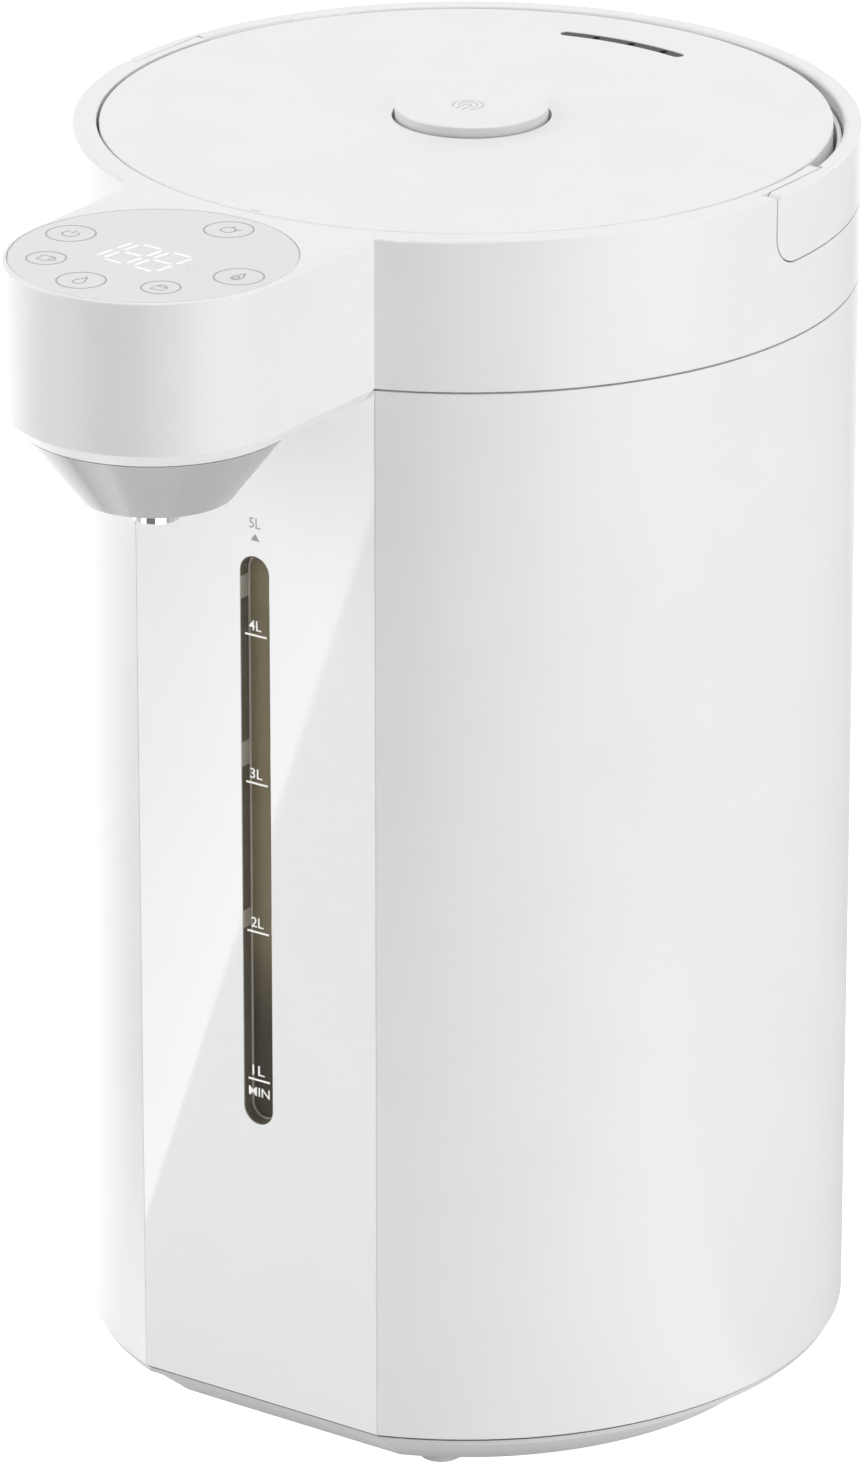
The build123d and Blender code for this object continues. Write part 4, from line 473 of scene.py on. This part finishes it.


# The white gauge print glows faintly: painted light, as printed ink gives off no light.
GLOWING_MARK_WHITE = ink("mark_white_painted_glow", (0.88, 0.87, 0.83), glow=0.2)
MARK_GREY = ink("mark_grey", (0.37, 0.37, 0.37))
RING_GREY = ink("ring_grey", (0.35, 0.35, 0.35))
DIGIT_WHITE = ink("digit_white", (0.85, 0.85, 0.85), glow=0.15)
GHOST_WHITE = ink("ghost_white", (0.76, 0.76, 0.76))
SIGN_GREY = ink("sign_grey", (0.55, 0.55, 0.55))

# Marks of the gauge, in millimetres; a name that ends in _Z is a height over the floor.
MARK_SIDE = 0.3                 # marks stand this much right of the window's middle
MARK_HALF = 3.5
MARK_W = 0.55
LITRE_Z = {"4L": 237.6, "3L": 195.7, "2L": 153.1, "1L": 110.2}
LETTER_H = 2.9
LETTERS_W = 4.0
LETTER_WEIGHT = 0.008           # thickening of the letters, as a share of their type size
LETTER_SIDE = -0.2              # middle of the letters, along their line
LETTER_RISE = 2.75              # line to the middle of its letters
MIN_DROP = 3.5
MIN_H = 2.6
MIN_W = 6.8
FULL_Z = 269.0                  # middle of the letters over the window
FULL_SIDE = -0.1
FULL_W = 3.6
TRIANGLE_Z = 265.1
TRIANGLE_HALF = 1.4
TRIANGLE_H = 2.0


def make_gauge_marks():
    middle_z = WINDOW_Z / MM
    marks = Marks("gauge_marks", (WINDOW_X + MARK_SIDE * MM, PANEL_Y, WINDOW_Z), X_AXIS, Z_AXIS)
    for text, z in LITRE_Z.items():
        v = z - middle_z
        marks.stroke([(-MARK_HALF, v), (MARK_HALF, v)], MARK_W)
        marks.letters(text, LETTER_H, (LETTER_SIDE, v + LETTER_RISE), LETTERS_W, weight=LETTER_WEIGHT)
    marks.letters("MIN", MIN_H, (0, LITRE_Z["1L"] - middle_z - MIN_DROP), MIN_W, weight=LETTER_WEIGHT)
    marks.finish(GLOWING_MARK_WHITE, "pot")

    full = Marks("full_mark", (WINDOW_X + MARK_SIDE * MM, PANEL_Y, 0), X_AXIS, Z_AXIS)
    full.letters("5L", LETTER_H, (FULL_SIDE, FULL_Z), FULL_W)
    full.fill([(-TRIANGLE_HALF, TRIANGLE_Z - TRIANGLE_H / 2), (TRIANGLE_HALF, TRIANGLE_Z - TRIANGLE_H / 2),
               (0, TRIANGLE_Z + TRIANGLE_H / 2)])
    full.finish(MARK_GREY, "pot")


make_gauge_marks()

# Rings of the touch pads, in millimetres: middle from the disc's middle, radius and sign.
RINGS = (
    ((-27.6, 2.0), 6.4, "power"),
    ((-21.0, -17.3), 5.1, "cup"),
    ((-3.2, -26.3), 6.3, "drop"),
    ((16.6, -19.3), 5.0, "lock"),
    ((27.9, -1.4), 6.4, "heat"),
    ((3.8, 27.5), 6.4, "kettle"),
)
RING_W = 0.42
SIGN_W = 0.38


def draw_sign(marks, sign, u, v):
    """A small sign in a ring, about 5 mm across."""
    if sign == "cup":
        marks.stroke([(u - 2.2, v + 1.6), (u - 1.7, v - 1.9), (u + 1.1, v - 1.9), (u + 1.6, v + 1.6)], SIGN_W)
        marks.stroke([(u - 2.2, v + 1.6), (u + 1.6, v + 1.6)], SIGN_W)
        marks.stroke(arc((u + 1.5, v), 1.2, -80, 80), SIGN_W)
    elif sign == "drop":
        marks.stroke(drop((u, v), 2.6), SIGN_W, closed=True)
    elif sign == "lock":
        marks.stroke([(u - 1.7, v - 2.1), (u + 1.7, v - 2.1), (u + 1.7, v + 0.5), (u - 1.7, v + 0.5)],
                     SIGN_W, closed=True)
        marks.stroke(arc((u, v + 0.6), 1.15, -10, 190), SIGN_W)
    elif sign == "heat":
        marks.stroke(drop((u, v + 0.2), 2.6), SIGN_W, closed=True)
        marks.stroke(drop((u, v - 0.9), 1.2), SIGN_W, closed=True)
    elif sign == "kettle":
        marks.stroke(arc((u, v - 0.3), 2.0, -60, 240), SIGN_W)
        marks.stroke([(u - 1.0, v - 2.1), (u + 1.0, v - 2.1)], SIGN_W)
        marks.stroke([(u + 1.8, v + 0.4), (u + 2.9, v + 1.5)], SIGN_W)
        marks.stroke([(u - 0.6, v + 2.3), (u + 0.6, v + 2.3)], SIGN_W)
    elif sign == "power":
        marks.stroke(arc((u, v - 0.2), 2.2, 125, 415), SIGN_W)
        marks.stroke([(u, v + 0.4), (u, v + 2.7)], SIGN_W)


# Figures of the display, in millimetres: the right side of one, and two with every segment lit.
FIGURE_W = 7.6
FIGURE_H = 14.6
FIGURE_PITCH = 10.0
FIGURE_START = (-19.4, -8.4)    # lower left corner of the first figure, from the disc's middle
FIGURE_FALL = -0.8              # each figure stands this much lower than the one before
FIGURE_LEAN = 1.7               # top of a figure to the right of its foot
SEGMENT_W = 1.15
SEGMENT_GAP = 0.75
SEGMENTS = {
    "a": ((0, 1), (1, 1)), "b": ((1, 0.5), (1, 1)), "c": ((1, 0), (1, 0.5)), "d": ((0, 0), (1, 0)),
    "e": ((0, 0), (0, 0.5)), "f": ((0, 0.5), (0, 1)), "g": ((0, 0.5), (1, 0.5)),
}
FIGURES = ("bc", "abcdefg", "abcdefg")
DEGREE_PLACE = (12.6, -2.2)
DEGREE_R = 0.8
UNIT_PLACE = (15.2, -3.9)
UNIT_H = 3.4


def make_disc_marks():
    rings = Marks("disc_rings", (0, DISC_Y, RIM_Z), X_AXIS, Y_AXIS)
    for (u, v), radius, sign in RINGS:
        rings.stroke(circle((u, v), radius), RING_W, closed=True)
        draw_sign(rings, sign, u, v)
    rings.finish(RING_GREY, "pot")

    figures = Marks("disc_figures", (0, DISC_Y, RIM_Z), X_AXIS, Y_AXIS)
    for number, lit in enumerate(FIGURES):
        left = FIGURE_START[0] + number * FIGURE_PITCH
        foot = FIGURE_START[1] + number * FIGURE_FALL
        for segment in lit:
            ends = [Vector((left + a * FIGURE_W + b * FIGURE_LEAN,
                            foot + b * FIGURE_H + a * FIGURE_FALL * FIGURE_W / FIGURE_PITCH))
                    for a, b in SEGMENTS[segment]]
            run = (ends[1] - ends[0]).normalized()
            side = Vector((-run.y, run.x)) * SEGMENT_W / 2
            start, end = ends[0] + run * SEGMENT_GAP, ends[1] - run * SEGMENT_GAP
            point = run * SEGMENT_W / 2
            figures.fill([tuple(p) for p in (start, start + point - side, end - point - side, end,
                                             end - point + side, start + point + side)])
    figures.finish(DIGIT_WHITE, "pot")

    unit = Marks("disc_unit", (0, DISC_Y, RIM_Z), X_AXIS, Y_AXIS)
    unit.stroke(arc(DEGREE_PLACE, DEGREE_R, 0, 345), SIGN_W, closed=True)
    unit.letters("C", UNIT_H, UNIT_PLACE)
    unit.finish(GHOST_WHITE, "pot")


make_disc_marks()

# Sign on the button, in millimetres.
PRESS_FORWARD = 1.7             # its middle lies this much in front of the button's
PRESS_W = 0.45
PRESS_ARCS = ((4.1, -50, 230, 36), (2.5, -35, 215, 24))     # radius, start, end and steps
FINGER_R = 1.0
FINGER_END = -0.4               # middle of the finger's rounded end
FINGER_FOOT = -4.2


def make_button_sign():
    """A faint sign for pressing: a finger's end inside two arcs."""
    sign = Marks("button_sign", (0, BUTTON_Y - PRESS_FORWARD * MM, BUTTON_TOP), X_AXIS, Y_AXIS)
    for radius, start, end, steps in PRESS_ARCS:
        sign.stroke(arc((0, 0), radius, start, end, steps), PRESS_W)
    finger = arc((0, FINGER_END), FINGER_R, 180, 0, 12)
    sign.stroke([(-FINGER_R, FINGER_FOOT), (-FINGER_R, FINGER_END), *finger, (FINGER_R, FINGER_FOOT)], PRESS_W)
    sign.finish(SIGN_GREY, "button")


make_button_sign()


# ---------------------------------------------------------------- level window
def slot_outline(inset, y, steps=20):
    """Points of the window's outline, set in by an amount, at a depth."""
    half = WINDOW_HALF_W - inset
    straight = WINDOW_HALF_L - WINDOW_HALF_W
    points = arc((WINDOW_X, WINDOW_Z + straight), half, 0, 180, steps)
    points += arc((WINDOW_X, WINDOW_Z - straight), half, 180, 360, steps)
    return [Vector((x, y, z)) for x, z in points]


def skin(name, rings, material_of, caps, materials):
    """A closed piece through rings of points.

    material_of gives the material of each band between two rings, and caps those of the two filled ends.
    """
    mesh = bmesh.new()
    rows = [[mesh.verts.new(p) for p in ring] for ring in rings]
    count = len(rows[0])
    for number, (first, second) in enumerate(zip(rows, rows[1:])):
        for i in range(count):
            face = mesh.faces.new((first[i], first[(i + 1) % count], second[(i + 1) % count], second[i]))
            face.material_index = material_of[number]
            face.smooth = True
    for row, index in zip((rows[0], rows[-1]), caps):
        mesh.faces.new(row).material_index = index
    bmesh.ops.recalc_face_normals(mesh, faces=mesh.faces)
    data = mesh_data(name, mesh)
    for material in materials:
        data.materials.append(material)
    data.set_sharp_from_angle(angle=math.radians(40))
    return add_object(name, data)


LENS_T = 0.25 * MM              # the thin clear cover
LENS_COLOUR = (0.80, 0.80, 0.78)
LENS_ALPHA = 0.02
BACK_T = 0.15 * MM              # what is left of the window's depth behind the channel's floor
WALL_INSET = 0.22 * MM          # the channel's wall stands in from the slot by this
BEAD_INSET = 0.80 * MM          # inner foot of the bead round the floor, and the two edges of its top
BEAD_TOP_INSETS = (0.70 * MM, 0.34 * MM)
BEAD_H = 0.35 * MM
BEAD_COLOUR = (0.62, 0.57, 0.49)
BACK_TOP_COLOUR = (0.245, 0.205, 0.115)
BACK_LOW_COLOUR = (0.050, 0.036, 0.018)
BACK_FADE = (0.15, 0.40)        # shares of the height between which the back pales
WALL_COLOUR = (0.125, 0.108, 0.066)
CLIP_COLOUR = (0.46, 0.43, 0.36)
CLIPS_Z = ((152.9, 158.1), (199.2, 205.8), (246.5, 252.7))      # where the clips show through the wall, mm
BACK, WALL, BEAD = 0, 1, 2      # materials of the channel


def make_window():
    bottom = WINDOW_Z - WINDOW_HALF_L
    top = WINDOW_Z + WINDOW_HALF_L
    back_stops = ((BACK_FADE[0], BACK_LOW_COLOUR), (BACK_FADE[1], BACK_TOP_COLOUR))
    wall_stops = [(0.0, WALL_COLOUR)]
    for clip_low, clip_high in CLIPS_Z:
        wall_stops.append(((clip_low * MM - bottom) / (top - bottom), CLIP_COLOUR))
        wall_stops.append(((clip_high * MM - bottom) / (top - bottom), WALL_COLOUR))
    materials = (
        plastic("window_back", None, 0.45, mottle=0.05, shine=0.1, zones=("Z", bottom, top, back_stops, "EASE")),
        plastic("window_wall", None, 0.4, mottle=0.05, shine=0.1, zones=("Z", bottom, top, wall_stops, "CONSTANT")),
        plastic("window_bead", BEAD_COLOUR, 0.25, mottle=0.03),
    )

    front = PANEL_Y + LENS_T
    floor = PANEL_Y + WINDOW_DEPTH - BACK_T
    bead_top = floor - BEAD_H
    channel = skin("gauge_channel", [
        slot_outline(BEAD_INSET, floor),
        slot_outline(BEAD_TOP_INSETS[0], bead_top),
        slot_outline(BEAD_TOP_INSETS[1], bead_top),
        slot_outline(WALL_INSET, floor),
        slot_outline(WALL_INSET, front),
        slot_outline(0, front),
        slot_outline(0, PANEL_Y + PANEL_T),
        slot_outline(-WINDOW_RIM, PANEL_Y + PANEL_T),
        slot_outline(-WINDOW_RIM, PANEL_Y + WINDOW_DEPTH),
    ], (BEAD,) * 3 + (WALL,) * 5, (BACK, WALL), materials)
    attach(channel, "pot")
    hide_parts("level_window")

    lens = skin("gauge_lens", [slot_outline(0, PANEL_Y), slot_outline(0, front)], (0,), (0, 0),
                (thin_film("gauge_lens", LENS_COLOUR, LENS_ALPHA),))
    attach(lens, "pot")
    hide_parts("level_window")


make_window()


# ---------------------------------------------------------------- small forms
NUB_HALF = (1.7 * MM, 0.8 * MM, 0.55 * MM)      # half sizes
NUB_BACK = 1.6 * MM                             # from the lid's front edge to the nub's middle


def make_lid_nub():
    """A small rounded nub on the lid's front edge."""
    mesh = bmesh.new()
    bmesh.ops.create_uvsphere(mesh, u_segments=24, v_segments=12, radius=1)
    for vert in mesh.verts:
        vert.co = Vector([side * half for side, half in zip(vert.co, NUB_HALF)])
    for face in mesh.faces:
        face.smooth = True
    data = mesh_data("lid_nub", mesh)
    data.transform(Matrix.Translation((0, LID_FRONT_Y + NUB_BACK, RIM_Z)))
    data.materials.append(MATERIALS["lid_white"])
    nub = add_object("lid_nub", data)
    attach(nub, "lid")


def make_button_coils():
    """The two coils under the button, copied to a piece of their own on the lid; nothing here flattens them."""
    coils = add_object("button_coils", NODES["button_springs"].data.copy())
    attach(coils, "lid")
    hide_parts("button_springs")
    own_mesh(coils)


make_lid_nub()
make_button_coils()


# ---------------------------------------------------------------- stage and light
FLOOR_HALF = 3.0
FLOOR_COLOUR = (0.82, 0.82, 0.82, 1)
FLOOR_GLOW = 1.05               # what the camera and glossy surfaces see of the floor
WORLD_GLOW = 1.0                # what the camera, gloss and glass see of the world
WORLD_LIGHT = 0.39              # and what the rest gets of it
CARD_COLOUR = (0.02, 0.02, 0.02, 1)


def make_floor():
    mesh = bpy.data.meshes.new("floor")
    mesh.from_pydata([(-FLOOR_HALF, -FLOOR_HALF, 0), (FLOOR_HALF, -FLOOR_HALF, 0),
                      (FLOOR_HALF, FLOOR_HALF, 0), (-FLOOR_HALF, FLOOR_HALF, 0)], [], [(0, 1, 2, 3)])
    floor = add_object("floor", mesh)
    material, shader = shader_of("floor_white")
    tree = material.node_tree
    shader.inputs["Base Color"].default_value = FLOOR_COLOUR
    shader.inputs["Roughness"].default_value = 0.9
    shader.inputs["Specular IOR Level"].default_value = 0.0
    path = tree.nodes.new("ShaderNodeLightPath")
    lit = larger(tree, path.outputs["Is Camera Ray"], path.outputs["Is Glossy Ray"])
    glow = tree.nodes.new("ShaderNodeMath")
    glow.operation = "MULTIPLY"
    glow.inputs[1].default_value = FLOOR_GLOW
    tree.links.new(lit, glow.inputs[0])
    shader.inputs["Emission Color"].default_value = WHITE_LIGHT
    tree.links.new(glow.outputs[0], shader.inputs["Emission Strength"])
    mesh.materials.append(material)


def make_world():
    world = bpy.data.worlds.new("studio")
    world.use_nodes = True
    bpy.context.scene.world = world
    tree = world.node_tree
    background = tree.nodes["Background"]
    background.inputs["Color"].default_value = WHITE_LIGHT
    path = tree.nodes.new("ShaderNodeLightPath")
    mirrored = larger(tree, path.outputs["Is Glossy Ray"], path.outputs["Is Transmission Ray"])
    seen = larger(tree, path.outputs["Is Camera Ray"], mirrored)
    spread(tree, seen, WORLD_LIGHT, WORLD_GLOW, background.inputs["Strength"])


def soft_box(name, azimuth_deg, height, distance, width, tall, radiance, aim_z=0.18):
    """A rectangular lamp facing the object; azimuth is measured from the front towards +X."""
    data = bpy.data.lights.new(name, "AREA")
    data.shape = "RECTANGLE"
    data.size = width
    data.size_y = tall
    data.energy = radiance * math.pi * width * tall
    turn = math.radians(azimuth_deg)
    place = Vector((math.sin(turn) * distance, -math.cos(turn) * distance, height))
    lamp = add_object(name, data)
    lamp.location = place
    lamp.rotation_euler = (place - Vector((0, 0, aim_z))).to_track_quat("Z", "Y").to_euler()
    lamp.visible_camera = False


def floor_card(name, corners, height, glow, far_glow=None, reach=1.0):
    """A card flat on the floor that only glossy surfaces mirror.

    Its glow is even, or runs from glow at its first edge to far_glow at the given reach away from it.
    """
    start, end = Vector((*corners[0], 0)), Vector((*corners[1], 0))
    run = (end - start).normalized()
    across = Vector((-run.y, run.x, 0))
    if (Vector((*corners[2], 0)) - start).dot(across) < 0:
        across = -across
    turn = Matrix((across, run, across.cross(run))).transposed().to_4x4()
    place = Matrix.Translation(start + Vector((0, 0, height))) @ turn
    points = [place.inverted() @ Vector((x, y, height)) for x, y in corners]
    mesh = bpy.data.meshes.new(name)
    mesh.from_pydata(points, [], [range(len(corners))])
    card = add_object(name, mesh)
    card.matrix_world = place
    material, shader = shader_of(name)
    tree = material.node_tree
    shader.inputs["Base Color"].default_value = CARD_COLOUR
    shader.inputs["Emission Color"].default_value = WHITE_LIGHT
    spread(tree, along(tree, "X", 0.0, reach), glow, glow if far_glow is None else far_glow,
           shader.inputs["Emission Strength"])
    mesh.materials.append(material)
    card.visible_camera = False
    card.visible_diffuse = False
    card.visible_shadow = False
    card.visible_transmission = False


def make_cards():
    # Bright card left of the front: the panel mirrors its edge as a diagonal.
    floor_card("bright_card", ((-0.0598, -0.100), (-0.5261, -0.950), (-1.30, -0.950), (-0.60, -0.100)),
               height=1.0 * MM, glow=3.1, far_glow=0.4, reach=0.14)
    # Dark and dim cards that the nozzle and the rounded walls mirror.
    floor_card("dark_front", ((-0.10, -0.45), (-0.28, -1.60), (0.85, -1.60), (0.22, -0.45)),
               height=0.6 * MM, glow=0.1)
    floor_card("dark_side", ((0.55, -0.20), (0.95, -0.20), (0.95, 0.10), (0.55, 0.10)),
               height=0.6 * MM, glow=0.1)
    floor_card("dim_back", ((0.11, 0.01), (1.50, 0.13), (1.50, 1.50), (-0.26, 1.50), (-0.02, 0.11)),
               height=0.3 * MM, glow=0.45)


make_floor()
make_world()
make_cards()
# The glossy panel doesn't mirror the spout, as in the photograph.
for spout_node in ("spout_cone", "nozzle"):
    NODES[spout_node].visible_glossy = False
soft_box("left_box", azimuth_deg=-58, height=0.75, distance=1.6, width=1.3, tall=1.5, radiance=2.2)
soft_box("right_box", azimuth_deg=90, height=0.8, distance=1.8, width=1.3, tall=1.5, radiance=1.8)
soft_box("low_box", azimuth_deg=80, height=0.06, distance=0.9, width=0.8, tall=0.3, radiance=2.0, aim_z=0.2)
soft_box("top_box", azimuth_deg=150, height=2.1, distance=0.35, width=1.4, tall=1.4, radiance=2.6)


scene = bpy.context.scene
scene.view_settings.view_transform = "Standard"
